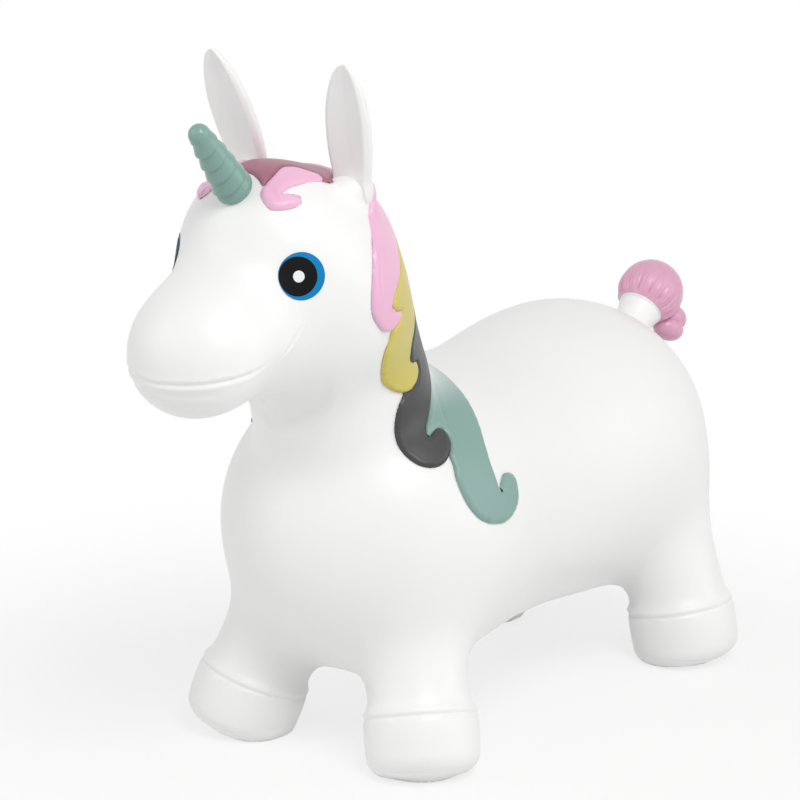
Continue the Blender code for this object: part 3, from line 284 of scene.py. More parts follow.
# Points nearer the middle plane than this lie on it
ON_MIDDLE = 1e-7

SIDES = (("left", 1), ("right", -1))


def unit(vector):
    """The vector with length 1."""
    return np.array(vector, float) / np.linalg.norm(vector)


EAR_AXIS = unit(EAR_DIRECTION)
HORN_AXIS = unit(np.subtract(HORN_TIP, HORN_BASE))
TAIL_AXIS = unit(np.subtract(TUFT_CENTRE, TAIL_ROOT))


def ellipsoid(points, centre, radii, tilt=0.0):
    """Distance, to first order, from an ellipsoid; a negative tilt leans its top towards the nose."""
    x, y, z = (points - centre).T
    across = y * math.cos(tilt) - z * math.sin(tilt)
    along = y * math.sin(tilt) + z * math.cos(tilt)
    scaled = np.stack([x, across, along]) / np.array(radii)[:, None]
    reach = np.sqrt((scaled**2).sum(0))
    slope = np.sqrt(((scaled / np.array(radii)[:, None]) ** 2).sum(0))
    return reach * (reach - 1) / np.maximum(slope, 1e-9)


def round_cone(points, start, end, start_radius, end_radius):
    """Distance from the hull of two spheres."""
    axis = np.subtract(end, start)
    length_sq = axis @ axis
    narrowing = start_radius - end_radius
    a2 = length_sq - narrowing**2
    along = (points - start) @ axis
    beyond = along - length_sq
    offset = (points - start) * length_sq - along[:, None] * axis
    across_sq = (offset**2).sum(1)
    y2 = along**2 * length_sq
    z2 = beyond**2 * length_sq
    k = np.sign(narrowing) * narrowing**2 * across_sq
    past_end = np.sqrt(across_sq + z2) / length_sq - end_radius
    before_start = np.sqrt(across_sq + y2) / length_sq - start_radius
    between = (np.sqrt(across_sq * a2 / length_sq) + along * narrowing) / length_sq - start_radius
    result = np.where(np.sign(along) * a2 * y2 < k, before_start, between)
    return np.where(np.sign(beyond) * a2 * z2 > k, past_end, result)


def fillet(first, second, radius):
    """The union of two distances with a fillet."""
    near = np.maximum(radius - np.abs(first - second), 0) / radius
    return np.minimum(first, second) - near**3 * radius / 6


def drum(points, base, axis):
    """Distance from a hoof: an upright rounded drum whose side bulges."""
    offset = points - base
    along = offset @ axis
    across = np.sqrt(np.maximum((offset**2).sum(1) - along**2, 0))
    share = np.clip(along / HOOF_HEIGHT, 0, 1)
    out = across - (HOOF_RADIUS + HOOF_BULGE * 4 * share * (1 - share) - HOOF_EDGE)
    up = np.abs(along - HOOF_HEIGHT / 2) - (HOOF_HEIGHT / 2 - HOOF_EDGE)
    outside = np.sqrt(np.maximum(out, 0) ** 2 + np.maximum(up, 0) ** 2)
    return np.minimum(np.maximum(out, up), 0) + outside - HOOF_EDGE


def leg_axis(place):
    foot, hip, _, _ = LEGS[place]
    return unit(np.subtract(hip, foot))


def mound(points, root, axis, radius):
    """Distance from a short round-ended column that stands under a root."""
    return round_cone(points, root - axis * radius * 2, root - axis * radius * 0.6, radius, radius)


def skin_distance(points):
    """Distance of each point from the outside of the skin, negative inside. Both sides are alike."""
    points = np.array(points, float)
    points[:, 0] = np.abs(points[:, 0])
    ends = ((0, CHEST[0][1], BARREL_HEIGHT), (0, RUMP[0][1], BARREL_HEIGHT))
    body = fillet(ellipsoid(points, *CHEST), ellipsoid(points, *RUMP), TRUNK_FILLET)
    body = fillet(body, round_cone(points, *ends, *BARREL_RADII), TRUNK_FILLET)
    for place, (foot, hip, hip_radius, ankle_radius) in LEGS.items():
        axis = leg_axis(place)
        column = round_cone(points, hip, foot + axis * ANKLE_HEIGHT, hip_radius, ankle_radius)
        body = fillet(fillet(body, column, LEG_FILLET), drum(points, foot, axis), HOOF_FILLET)
    body = fillet(body, round_cone(points * (NECK_FLATTENING, 1, 1), *NECK), NECK_FILLET)
    brow = np.subtract(CRANIUM[0], (0, 0, BRIDGE_DROP))
    head = fillet(ellipsoid(points, *CRANIUM), ellipsoid(points, *MUZZLE), HEAD_FILLET)
    head = fillet(head, round_cone(points, brow, MUZZLE[0], *BRIDGE_RADII), BRIDGE_FILLET)
    body = fillet(body, head, THROAT_FILLET)
    radius, soft, drop = HORN_COLLAR
    top = HORN_BASE - HORN_AXIS * (drop + radius)
    body = fillet(body, round_cone(points, top - HORN_AXIS * radius, top, radius, radius), soft)
    body = fillet(body, mound(points, EAR_ROOT, EAR_AXIS, EAR_MOUND[0]), EAR_MOUND[1])
    return fillet(body, mound(points, TAIL_ROOT, TAIL_AXIS, TAIL_MOUND[0]), TAIL_MOUND[1])


def skin_slope(points, step=0.0002):
    """Gradient of skin_distance."""
    slope = np.empty_like(points)
    for axis in range(3):
        shift = np.zeros(3)
        shift[axis] = step
        slope[:, axis] = (skin_distance(points + shift) - skin_distance(points - shift)) / (2 * step)
    return slope


def settle(points, rounds=6):
    """Moves the points onto the skin."""
    points = np.array(points, float)
    for _ in range(rounds):
        slope = skin_slope(points)
        points -= slope * (skin_distance(points) / np.maximum((slope**2).sum(1), 0.2))[:, None]
    return points


def skin_outward(points):
    """The direction out of the skin at each point."""
    slope = skin_slope(points)
    return slope / np.linalg.norm(slope, axis=1)[:, None]


def smooth_outline(outline, steps=7):
    """Points along an outline that is rounded except at its corners."""
    count = len(outline)
    sharp = [len(point) > 2 for point in outline]
    made = []
    for i in range(count):
        before, start, end, after = (np.array(outline[(i + k) % count][:2]) for k in (-1, 0, 1, 2))
        length = np.linalg.norm(end - start)
        leave = np.zeros(2) if sharp[i] else unit(end - before) * length / 3
        arrive = np.zeros(2) if sharp[(i + 1) % count] else unit(after - start) * length / 3
        for t in np.arange(steps) / steps:
            u = 1 - t
            made.append(
                start * u**3 + (start + leave) * 3 * u**2 * t + (end - arrive) * 3 * u * t**2 + end * t**3
            )
    return np.array(made)


def inside_distance(points, outline):
    """How far each 2-D point lies inside a closed outline; negative outside it."""
    best = np.full(len(points), np.inf)
    crossings = np.zeros(len(points), int)
    for start, end in zip(outline, np.roll(outline, -1, axis=0)):
        edge = end - start
        offset = points - start
        share = np.clip(offset @ edge / max(edge @ edge, 1e-18), 0, 1)
        best = np.minimum(best, ((offset - share[:, None] * edge) ** 2).sum(1))
        spans = (start[1] > points[:, 1]) != (end[1] > points[:, 1])
        if abs(edge[1]) > 1e-12:
            across = start[0] + (points[:, 1] - start[1]) * edge[0] / edge[1]
            crossings += spans & (points[:, 0] < across)
    return np.sqrt(best) * np.where(crossings % 2, 1, -1)


def from_polyline(points, line):
    """Distance of each point from a line through space, and its share of the way along."""
    line = np.array(line)
    best = np.full(len(points), np.inf)
    share_at = np.zeros(len(points))
    for i, (start, end) in enumerate(zip(line, line[1:])):
        edge = end - start
        share = np.clip((points - start) @ edge / (edge @ edge), 0, 1)
        reach = ((points - start - share[:, None] * edge) ** 2).sum(1)
        share_at = np.where(reach < best, (i + share) / (len(line) - 1), share_at)
        best = np.minimum(best, reach)
    return np.sqrt(best), share_at


def coordinates(bm):
    return np.array([v.co for v in bm.verts], float)


def face_centres(bm):
    return np.array([f.calc_center_median() for f in bm.faces])


def face_loops(bm):
    bm.verts.index_update()
    return [[v.index for v in f.verts] for f in bm.faces]


def on_edge(verts):
    """Whether each point lies on the open edge of its mesh."""
    return np.array([v.is_boundary for v in verts])


def set_coordinates(bm, points):
    for vertex, point in zip(bm.verts, points):
        vertex.co = point


def settle_mesh(bm, rounds):
    """Settles a half mesh on the skin, and its open edge on the middle plane too."""
    points = settle(coordinates(bm), rounds)
    points[on_edge(bm.verts), 0] = 0
    set_coordinates(bm, points)


def along_leg(points, place):
    foot = np.array(LEGS[place][0])
    return (points - foot) @ leg_axis(place)


def near_leg(points, place):
    """Whether each point lies round this left leg, below the belly."""
    offset = points - np.array(LEGS[place][0])
    across = np.sqrt(np.maximum((offset**2).sum(1) - (offset @ leg_axis(place)) ** 2, 0))
    return across < HOOF_RADIUS * 1.9


def above_seam(points, seam):
    """Height of each point above a seam's plane."""
    front, back = np.array(seam[0]), np.array(seam[1])
    along = unit(back - front)
    return (points - front) @ np.array((0, -along[2], along[1]))


def score(bm, values, only=None):
    """Cuts the mesh along the line where the values, one a vertex, change sign."""
    bm.verts.index_update()
    made = []
    for edge in list(bm.edges):
        a, b = edge.verts
        va, vb = values[a.index], values[b.index]
        if va * vb >= 0 or (only is not None and not (only[a.index] and only[b.index])):
            continue
        _, vertex = bmesh.utils.edge_split(edge, a, va / (va - vb))
        made.append(vertex)
    bmesh.ops.connect_verts(bm, verts=made)
    bm.verts.index_update()


def bare_mesh(name, bm):
    mesh = bpy.data.meshes.new(name)
    bm.to_mesh(mesh)
    bm.free()
    return mesh


def in_scene(name, data):
    """A new object that is in the scene."""
    obj = bpy.data.objects.new(name, data)
    bpy.context.scene.collection.objects.link(obj)
    return obj


def half_skin():
    """The left half of the skin as one fine mesh that ends on the middle plane."""
    bm = bmesh.new()

    def ball(centre, radii):
        place = Matrix.Translation(centre) @ Matrix.Diagonal((*radii, 1))
        bmesh.ops.create_uvsphere(bm, u_segments=32, v_segments=24, radius=1, matrix=place)

    def rod(start, end, start_radius, end_radius):
        start, end = Vector(start), Vector(end)
        turn = (end - start).to_track_quat("Z", "Y").to_matrix().to_4x4()
        bmesh.ops.create_cone(
            bm,
            cap_ends=True,
            segments=32,
            radius1=start_radius,
            radius2=end_radius,
            depth=(end - start).length,
            matrix=Matrix.Translation((start + end) / 2) @ turn,
        )

    ball(*CHEST)
    ball(*RUMP)
    rod((0, CHEST[0][1], BARREL_HEIGHT), (0, RUMP[0][1], BARREL_HEIGHT), *BARREL_RADII)
    rod(*NECK)
    ball(*CRANIUM[:2])
    ball(*MUZZLE[:2])
    rod(CRANIUM[0], MUZZLE[0], *BRIDGE_RADII)
    for foot, hip, _, ankle_radius in LEGS.values():
        for side in (1, -1):
            rod(np.multiply(foot, (side, 1, 1)), np.multiply(hip, (side, 1, 1)), ankle_radius, ankle_radius)
    whole = in_scene("skin_volume", bare_mesh("skin_volume", bm))
    remesh = whole.modifiers.new("one_skin", "REMESH")
    remesh.mode = "VOXEL"
    remesh.voxel_size = VOXEL
    graph = bpy.context.evaluated_depsgraph_get()
    mesh = bpy.data.meshes.new_from_object(whole.evaluated_get(graph), depsgraph=graph)
    bpy.data.objects.remove(whole)
    bm = bmesh.new()
    bm.from_mesh(mesh)
    bmesh.ops.bisect_plane(
        bm,
        geom=bm.verts[:] + bm.edges[:] + bm.faces[:],
        plane_co=(0, 0, 0),
        plane_no=(1, 0, 0),
        clear_inner=True,
        dist=VOXEL / 3,
    )
    for _ in range(4):
        settle_mesh(bm, 3)
        bmesh.ops.smooth_vert(
            bm, verts=bm.verts, factor=0.5, use_axis_x=True, use_axis_y=True, use_axis_z=True
        )
        for vertex in bm.verts:
            if vertex.is_boundary:
                vertex.co.x = 0
    settle_mesh(bm, 6)
    return bm


def refine(bm, near):
    """Divides the faces whose points are all marked, then settles the new points on the skin."""
    bm.verts.index_update()
    edges = [e for e in bm.edges if near[e.verts[0].index] and near[e.verts[1].index]]
    result = bmesh.ops.subdivide_edges(bm, edges=edges, cuts=1, use_grid_fill=True)
    made = [g for g in result["geom_inner"] if isinstance(g, bmesh.types.BMVert)]
    points = settle([v.co for v in made], 3)
    points[on_edge(made), 0] = 0
    for vertex, point in zip(made, points):
        vertex.co = point
    bm.verts.index_update()


def bell(reach, width):
    """1 at no reach, falling to nothing on both sides of the width."""
    return np.exp(-((reach / width) ** 2))


def groove(reach, width):
    """The section of a crease, 1 deep, between two low shoulders."""
    return bell(reach, width) - 0.25 * bell(reach - 2.4 * width, 1.1 * width)


def smooth_step(share):
    share = np.clip(share, 0, 1)
    return share * share * (3 - 2 * share)


def crease_depth(points):
    """How far the moulded creases push the skin in."""
    depth = np.zeros(len(points))
    for line, deep, width, fades in CREASES:
        reach, share = from_polyline(points, line)
        fade = np.clip((1 - share) * 4, 0, 1) * (np.clip(share * 4, 0, 1) if fades else 1)
        depth += deep * fade * groove(reach, width)
    above = points[:, 2] - THROAT_LOW - THROAT_RISE * points[:, 0] ** 2
    front = smooth_step((THROAT_BACK - points[:, 1]) / THROAT_BACK_FADE) * (points[:, 1] > THROAT_FRONT)
    top = smooth_step((THROAT_TOP - points[:, 2]) / THROAT_TOP_FADE)
    depth += THROAT_DEPTH * front * smooth_step(above / THROAT_ROLL) * top
    for place in LEGS:
        round_leg = near_leg(points, place)
        reach = along_leg(points, place) - CUFF_HEIGHT
        depth += round_leg * CUFF_DEPTH * bell(reach, CUFF_WIDTH)
        depth -= round_leg * CUFF_LIP * bell(reach - CUFF_LIP_RISE, CUFF_LIP_WIDTH)
        depth += round_leg * SOLE_DEPTH * bell(points[:, 2] - SOLE_EDGE, SOLE_WIDTH)
    return depth


def near_crease(points):
    """Whether each point lies so near a crease that the skin is divided more finely there."""
    near = np.zeros(len(points), bool)
    for line, _, width, _ in CREASES:
        near |= from_polyline(points, line)[0] < width * 4
    for place in LEGS:
        round_leg = near_leg(points, place)
        near |= round_leg & (np.abs(along_leg(points, place) - CUFF_HEIGHT - 0.001) < 0.005)
        near |= round_leg & (np.abs(points[:, 2] - SOLE_EDGE) < 0.003)
    return near


def shown(name, mesh, finish):
    """Adds a smooth piece with its finish."""
    mesh.materials.clear()
    mesh.materials.append(finish)
    mesh.shade_smooth()
    return in_scene(name, mesh)


def piece(name, points, faces, finish, sign=1):
    """A piece from its points and faces, or its mirror image where sign is -1."""
    mesh = bpy.data.meshes.new(name)
    corners = [tuple(p) for p in np.array(points) * (sign, 1, 1)]
    mesh.from_pydata(corners, [], [tuple(f)[::sign] for f in faces])
    mesh.update()
    return shown(name, mesh, finish)


def with_normals(obj, normals):
    obj.data.normals_split_custom_set_from_vertices([tuple(n) for n in normals])
    return obj


def skin_pieces(finish):
    """Cuts the skin at the seams. Every piece keeps the whole skin's normals, so the seams don't show."""
    bm = half_skin()
    for _ in range(2):
        refine(bm, near_crease(coordinates(bm)))
    plain = bm.copy()
    points = coordinates(bm)
    points -= skin_outward(points) * crease_depth(points)[:, None]
    points[on_edge(bm.verts), 0] = 0
    points[:, 2] = np.maximum(points[:, 2], 0)
    set_coordinates(bm, points)
    for seam in (NECK_SEAM, THROAT_SEAM):
        score(bm, above_seam(coordinates(bm), seam), coordinates(bm)[:, 2] > SEAM_FLOOR)
    for place in LEGS:
        for height in (CUFF_HEIGHT, LEG_TOP):
            score(bm, along_leg(coordinates(bm), place) - height, near_leg(coordinates(bm), place))
    bm.normal_update()
    normals = np.array([v.normal for v in bm.verts])
    normals[on_edge(bm.verts), 0] = 0
    normals /= np.maximum(np.linalg.norm(normals, axis=1), 1e-9)[:, None]
    points = coordinates(bm)
    centres = face_centres(bm)
    group = np.full(len(centres), "trunk_skin", dtype=object)
    upper = (above_seam(centres, NECK_SEAM) > 0) & (centres[:, 2] > SEAM_FLOOR)
    group[upper] = "neck_skin"
    group[upper & (above_seam(centres, THROAT_SEAM) > 0)] = "head_skin"
    for place in LEGS:
        height = along_leg(centres, place)
        round_leg = near_leg(centres, place) & (height < LEG_TOP)
        group[round_leg] = "leg_skin_" + place
        group[round_leg & (height < CUFF_HEIGHT)] = "hoof_" + place
    faces = face_loops(bm)
    bm.free()
    for name in ("trunk_skin", "neck_skin", "head_skin"):
        wanted = [f for f, g in zip(faces, group) if g == name]
        both_sides(name, points, normals, wanted, finish)
    for place in LEGS:
        for kind in ("leg_skin_", "hoof_"):
            wanted = [f for f, g in zip(faces, group) if g == kind + place]
            for label, sign in SIDES:
                one_side(f"{kind}{place}_{label}", points, normals, wanted, finish, sign)
    return plain


def one_side(name, points, normals, faces, finish, sign):
    """The left piece, or its mirror image where sign is -1."""
    used = sorted({i for f in faces for i in f})
    renumber = {old: new for new, old in enumerate(used)}
    flip = np.array((sign, 1, 1))
    obj = piece("soft_" + name, points[used], [[renumber[i] for i in f] for f in faces], finish, sign)
    with_normals(obj, normals[used] * flip)
    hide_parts(name)
    if name.startswith("hoof"):
        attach(obj, name)
        return obj
    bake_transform(obj)
    return obj


def both_sides(name, points, normals, faces, finish):
    """Mirrors a half piece and joins it at the middle, without faces that lie in the middle plane."""
    faces = [f for f in faces if np.abs(points[f, 0]).max() > ON_MIDDLE]
    used = sorted({i for f in faces for i in f})
    left = {old: new for new, old in enumerate(used)}
    right, extra = {}, []
    for old in used:
        if abs(points[old, 0]) < ON_MIDDLE:
            right[old] = left[old]
        else:
            right[old] = len(used) + len(extra)
            extra.append(old)
    flip = np.array((-1, 1, 1))
    everything = np.concatenate([points[used], points[extra] * flip])
    all_normals = np.concatenate([normals[used], normals[extra] * flip])
    loops = [[left[i] for i in f] for f in faces] + [[right[i] for i in f][::-1] for f in faces]
    obj = piece("soft_" + name, everything, loops, finish)
    with_normals(obj, all_normals)
    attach(obj, "trunk")
    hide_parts(name)
    return obj


def rounded(share):
    """The section of a moulded edge: 0 at the rim, 1 where the edge ends."""
    return np.sqrt(np.maximum(1 - (1 - np.clip(share, 0, 1)) ** 2, 0))


def pad_mesh(source, inside, height, keep_middle=True):
    """Cuts a pad from a copy of the skin where inside is positive, divides it once more and raises it."""
    bm = source.copy()
    score(bm, inside(coordinates(bm)))
    outer = [f for f, value in zip(bm.faces, inside(face_centres(bm))) if value < 0]
    bmesh.ops.delete(bm, geom=outer, context="FACES")
    bmesh.ops.subdivide_edges(bm, edges=bm.edges[:], cuts=1, use_grid_fill=True)
    points = settle(coordinates(bm), 2)
    middle = np.abs(coordinates(bm)[:, 0]) < ON_MIDDLE
    points += skin_outward(points) * (PAD_LIFT + height(points))[:, None]
    if keep_middle:
        points[middle, 0] = 0
    faces = face_loops(bm)
    bm.free()
    return points, faces


def near_faces(source, test):
    """A copy of the skin's faces whose centres pass the test."""
    copy = source.copy()
    unwanted = [f for f, keep in zip(copy.faces, test(face_centres(copy))) if not keep]
    bmesh.ops.delete(copy, geom=unwanted, context="FACES")
    return copy


def pad_section(inside):
    """Height of a pad over its depth inside its outline, as a share: a rolled edge with a fine rim."""
    return rounded(inside / RELIEF_EDGE) + RELIEF_RIM / RELIEF * bell(inside - RELIEF_EDGE, RIM_WIDTH)


def fold(points, line, deep):
    """How far a fold along a line pushes a pad in. It runs out at its end."""
    reach, share = from_polyline(points, line)
    return deep * bell(reach, FOLD_WIDTH) * np.clip((1 - share) * 3, 0, 1)


def ear_room(points):
    """How far each point is clear of the ear's root."""
    return np.linalg.norm(points - np.array(EAR_ROOT), axis=1) - EAR_ROOM


def leaned(outline):
    """A lock's outline on the right side, where the lower locks lean back."""
    lean = np.clip((RIGHT_LEAN_TOP - outline[:, 1]) / RIGHT_LEAN_DROP, 0, 1)
    return outline + np.stack([RIGHT_LEAN * lean, np.zeros(len(outline))], 1)


def mane(source, finishes):
    """Side locks. Each one dips to its neighbour where it lies against it, and to the skin where it ends."""
    side = near_faces(source, lambda c: (c[:, 2] > 0.165) & (c[:, 1] > -0.19) & (c[:, 1] < 0.0))
    for label, sign in SIDES:
        outlines = [smooth_outline(points) for points in LOCKS.values()]
        if label == "right":
            outlines = [leaned(outline) for outline in outlines]

        def insides(points, outlines=outlines):
            return [inside_distance(points[:, 1:], outline) for outline in outlines]

        for rank, name in enumerate(LOCKS):

            def inside(points, rank=rank, insides=insides):
                all_inside = insides(points)
                result = all_inside[rank]
                for upper in all_inside[:rank]:
                    result = np.minimum(result, -upper)
                return np.minimum(result, ear_room(points))

            def height(points, name=name, insides=insides, inside=inside):
                union = np.minimum(np.max(insides(points), axis=0), ear_room(points))
                floor = RELIEF_STEP * rounded(union / RELIEF_EDGE)
                raised = floor + (RELIEF - floor) * pad_section(inside(points))
                if name in FOLDS:
                    line = [(0, y, z) for y, z in FOLDS[name]]
                    raised -= fold(points * (0, 1, 1), line, FOLD_DEPTH)
                return raised

            points, faces = pad_mesh(side, inside, height)
            obj = piece(f"lock_{name}_{label}", points, faces, finishes[name], sign)
            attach(obj, "trunk")
            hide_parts(f"mane_{name}_{label}")
    side.free()


def poll(source, pink, pink_painted_shade):
    """Forelock and crest on the top of the head. The crest is pink hair whose darker colour is painted
    shade: the dark reflection that its top takes.
    """
    outline = smooth_outline(FORELOCK)
    strap = smooth_outline(CREST)
    under_horn = np.array(HORN_BASE) - HORN_AXIS * HORN_ROOM_DROP

    def room(points):
        return np.minimum(ear_room(points), np.linalg.norm(points - under_horn, axis=1) - HORN_ROOM)

    def lock_inside(points):
        return np.minimum(inside_distance(points[:, :2], outline), room(points))

    def lock_height(points):
        raised = RELIEF * pad_section(lock_inside(points))
        return raised - fold(points * (1, 1, 0), FORELOCK_FOLD, FORELOCK_FOLD_DEPTH)

    def strap_inside(points):
        flat = inside_distance(points[:, :2], strap)
        return np.minimum(np.minimum(flat, -inside_distance(points[:, :2], outline)), room(points))

    def strap_height(points):
        return RELIEF * CREST_HEIGHT * rounded(strap_inside(points) / RELIEF_EDGE)

    top = near_faces(source, lambda c: (c[:, 2] > 0.37) & (c[:, 1] < -0.13))
    points, faces = pad_mesh(top, lock_inside, lock_height)
    for label, sign in SIDES:
        obj = piece(f"lock_fore_{label}", points, faces, pink, sign)
        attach(obj, "trunk")
        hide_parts("forelock_" + label)
    points, faces = pad_mesh(top, strap_inside, strap_height)
    count = len(points)
    faces = faces + [[i + count for i in f][::-1] for f in faces]
    # The crest strap takes the pink darkened with painted shade
    obj = piece("poll_strap", np.concatenate([points, points * (-1, 1, 1)]), faces, pink_painted_shade)
    bm = bmesh.new()
    bm.from_mesh(obj.data)
    bmesh.ops.remove_doubles(bm, verts=[v for v in bm.verts if abs(v.co.x) < 1e-5], dist=1e-5)
    bm.to_mesh(obj.data)
    bm.free()
    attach(obj, "trunk")
    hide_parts("poll_crest")
    top.free()


def eyes(source, finishes):
    """Printed discs that lie on one another."""
    centre = settle([EYE_PLACE], 8)[0]
    outward = unit(skin_slope(np.array([centre]))[0])
    forward = unit(np.cross(outward, (0, 0, 1)))
    forward = -forward if forward[1] > 0 else forward
    fore = smooth_outline(FORELOCK)
    face = near_faces(source, lambda c: np.linalg.norm(c - centre, axis=1) < EYE_FIELD)
    for reach in EYE_FINE:
        refine(face, np.linalg.norm(coordinates(face) - centre, axis=1) < reach)
    for name, (radius, shift, lift) in EYE_DISCS.items():
        middle = centre + forward * shift

        def inside(points, middle=middle, radius=radius):
            offset = points - middle
            along = offset @ outward
            across = np.sqrt(np.maximum((offset**2).sum(1) - along**2, 0))
            return np.minimum(radius - across, -inside_distance(points[:, :2], fore))

        def height(points, inside=inside, lift=lift):
            return lift * rounded(0.4 + inside(points) / EYE_EDGE)

        points, faces = pad_mesh(face, inside, height, keep_middle=False)
        for label, sign in SIDES:
            obj = piece(f"print_{name}_{label}", points, faces, finishes[name], sign)
            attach(obj, "trunk")
            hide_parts(f"eye_{name}_{label}")
    face.free()


def placed(centre, axis):
    """A matrix that stands a body at centre, its Z along axis and its X nearest to world X."""
    up = Vector(unit(axis))
    side = Vector((1, 0, 0)) - up * up.x
    side = side.normalized()
    return Matrix.Translation(Vector(centre)) @ Matrix((side, up.cross(side), up)).transposed().to_4x4()


def around(radius, share, height):
    """A point at a height on a circle round Z, at a share of the way round."""
    return radius * math.cos(share * math.tau), radius * math.sin(share * math.tau), height


def tube_faces(rows, sides):
    return [
        (r * sides + s, r * sides + (s + 1) % sides, (r + 1) * sides + (s + 1) % sides, (r + 1) * sides + s)
        for r in range(rows - 1)
        for s in range(sides)
    ]


def closed_tube(rows, sides):
    """The faces of a tube whose two ends are closed."""
    last = (rows - 1) * sides
    return tube_faces(rows, sides) + [tuple(range(sides))[::-1], tuple(last + s for s in range(sides))]


def transformed(matrix, points):
    turn = np.array(matrix)
    return np.array(points) @ turn[:3, :3].T + turn[:3, 3]


def ear_points():
    """A leaf with a rounded back, a rim down each side and a shallow channel between the rims."""
    table = np.array(EAR_PROFILE) / 1000
    steps = np.linspace(0, len(table) - 1, 56)
    rows = []
    for height, width, back, front, out in zip(*(np.interp(steps, range(len(table)), c) for c in table.T)):
        channel = EAR_CHANNEL * min(1, width / 0.012)
        section = []
        for turn in np.linspace(0.12, math.pi - 0.12, 9):
            section.append((width * math.cos(turn), back * math.sin(turn)))
        section.append((-width, -front * 0.25))
        for across in (-1.05, -1.0, -0.93):
            section.append((across * EAR_RIM * width, -front * (1 if across != -1.05 else 0.9)))
        for across in (-0.66, -0.33, 0.0, 0.33, 0.66):
            section.append((across * EAR_RIM * width, channel * (1 - abs(across) ** 1.4) - front))
        for across in (0.93, 1.0, 1.05):
            section.append((across * EAR_RIM * width, -front * (1 if across != 1.05 else 0.9)))
        section.append((width, -front * 0.25))
        rows.append([(x + out, y, height) for x, y in smooth_outline(section, 3)])
    return rows


def ears(finish):
    """Leaf ears whose feet spread onto the head."""
    rows = ear_points()
    sides = len(rows[0])
    faces = [face[::-1] for face in tube_faces(len(rows), sides)]
    faces.append(tuple((len(rows) - 1) * sides + s for s in range(sides))[::-1])
    points = transformed(placed(EAR_ROOT, EAR_AXIS), [p for row in rows for p in row])
    middles = points.reshape(len(rows), sides, 3).mean(1).repeat(sides, axis=0)
    outward = points - middles
    outward /= np.linalg.norm(outward, axis=1)[:, None] + 1e-9
    foot = np.clip(1 - skin_distance(points) / EAR_FOOT, 0, 1.3) ** 2
    points = points + outward * (EAR_SPREAD * foot)[:, None]
    for label, sign in SIDES:
        obj = piece(f"grip_ear_{label}", points, faces, finish, sign)
        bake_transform(obj)
        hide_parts("ear_" + label)


def horn(finish):
    """A blunt cone with bands that climb round it, each one lapping over the band above."""
    rows, sides, cap = 90, 48, 10
    length = float(np.linalg.norm(np.subtract(HORN_TIP, HORN_BASE)))
    low, high = HORN_RADII
    made = []
    for row in range(rows):
        share = row / (rows - 1)
        fade = min(1, share * 8, (1 - share) * 5)
        waist = HORN_WAIST * math.exp(-share * length / HORN_WAIST_HEIGHT)
        for side in range(sides):
            phase = (share * HORN_BANDS - side / sides) % 1
            step = (0.5 - phase**1.6) * min(1, phase / 0.14)
            line = BAND_LINE * bell(phase, 0.05)
            radius = low + (high - low) * share + fade * (BAND_STEP * step - line) - waist
            made.append(around(radius, side / sides, length * share))
    for row in range(1, cap):
        bend = row / cap * math.pi / 2
        for side in range(sides):
            made.append(around(high * math.cos(bend), side / sides, length + high * math.sin(bend)))
    faces = closed_tube(rows + cap - 1, sides)
    obj = piece("banded_horn", transformed(placed(HORN_BASE, HORN_AXIS), made), faces, finish)
    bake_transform(obj)
    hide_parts("horn")


def tail(white, dipped, rose):
    """A white stalk that flares into a pleated pink tuft with two lobes under it."""
    table = np.array(STALK)
    heights = np.linspace(table[0, 1], table[-1, 1], 24)
    radii = np.interp(heights, table[:, 1], table[:, 0])
    sides = 64
    made = [around(r, s / sides, h) for r, h in zip(radii, heights) for s in range(sides)]
    faces = closed_tube(len(heights), sides)
    obj = piece("white_stalk", transformed(placed(TAIL_ROOT, TAIL_AXIS), made), faces, white)
    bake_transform(obj)
    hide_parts("tail_stalk")
    rows, sides = 72, 224
    made = []
    for row in range(rows):
        bend = (row + 0.5) / rows * math.pi
        ribbed = bell(bend - 1.0, 0.55) * float(smooth_step((bend - 0.78) / 0.22))
        for side in range(sides):
            turn = side / sides * math.tau
            pleat = PLEAT_DEPTH * (abs(math.sin(turn * PLEATS + 0.6 * bend)) ** 0.55 - 0.8) * ribbed
            fine = FINE_PLEAT_DEPTH * math.cos(turn * PLEATS * FINE_PLEATS) * ribbed
            radius = TUFT_RADIUS - TUFT_INSET + pleat + fine
            made.append(around(radius * math.sin(bend), side / sides, -radius * math.cos(bend)))
    rib_mesh = (transformed(placed(TUFT_CENTRE, TAIL_AXIS), made), closed_tube(rows, sides))
    bm = bmesh.new()
    for centre, radii, tilt in LOBES:
        place = Matrix.Translation(centre) @ Matrix.Rotation(tilt, 4, "X") @ Matrix.Diagonal((*radii, 1))
        bmesh.ops.create_uvsphere(bm, u_segments=48, v_segments=32, radius=1, matrix=place)
    lobe_mesh = (coordinates(bm), face_loops(bm))
    bm.free()
    for name, (points, faces), finish in (("rose_tuft", rib_mesh, dipped), ("rose_lobes", lobe_mesh, rose)):
        obj = piece(name, points, faces, finish)
        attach(obj, "tail")
        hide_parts("tail_tuft")


def linear(code):
    """The linear colour of an sRGB hex code."""
    parts = [int(code[i : i + 2], 16) / 255 for i in (1, 3, 5)]
    return (*[c / 12.92 if c <= 0.04045 else ((c + 0.055) / 1.055) ** 2.4 for c in parts], 1)


def add(tree, kind, settings=None, inputs=None):
    """Adds a node with its settings; an input is a value or another node's output."""
    node = tree.nodes.new(kind)
    for name, value in (settings or {}).items():
        setattr(node, name, value)
    for name, value in (inputs or {}).items():
        if isinstance(value, bpy.types.NodeSocket):
            tree.links.new(value, node.inputs[name])
        else:
            node.inputs[name].default_value = value
    return node


def blank(name):
    """A new material with its node tree and its shader."""
    material = bpy.data.materials.new(name)
    material.use_nodes = True
    tree = material.node_tree
    return material, tree, tree.nodes["Principled BSDF"]


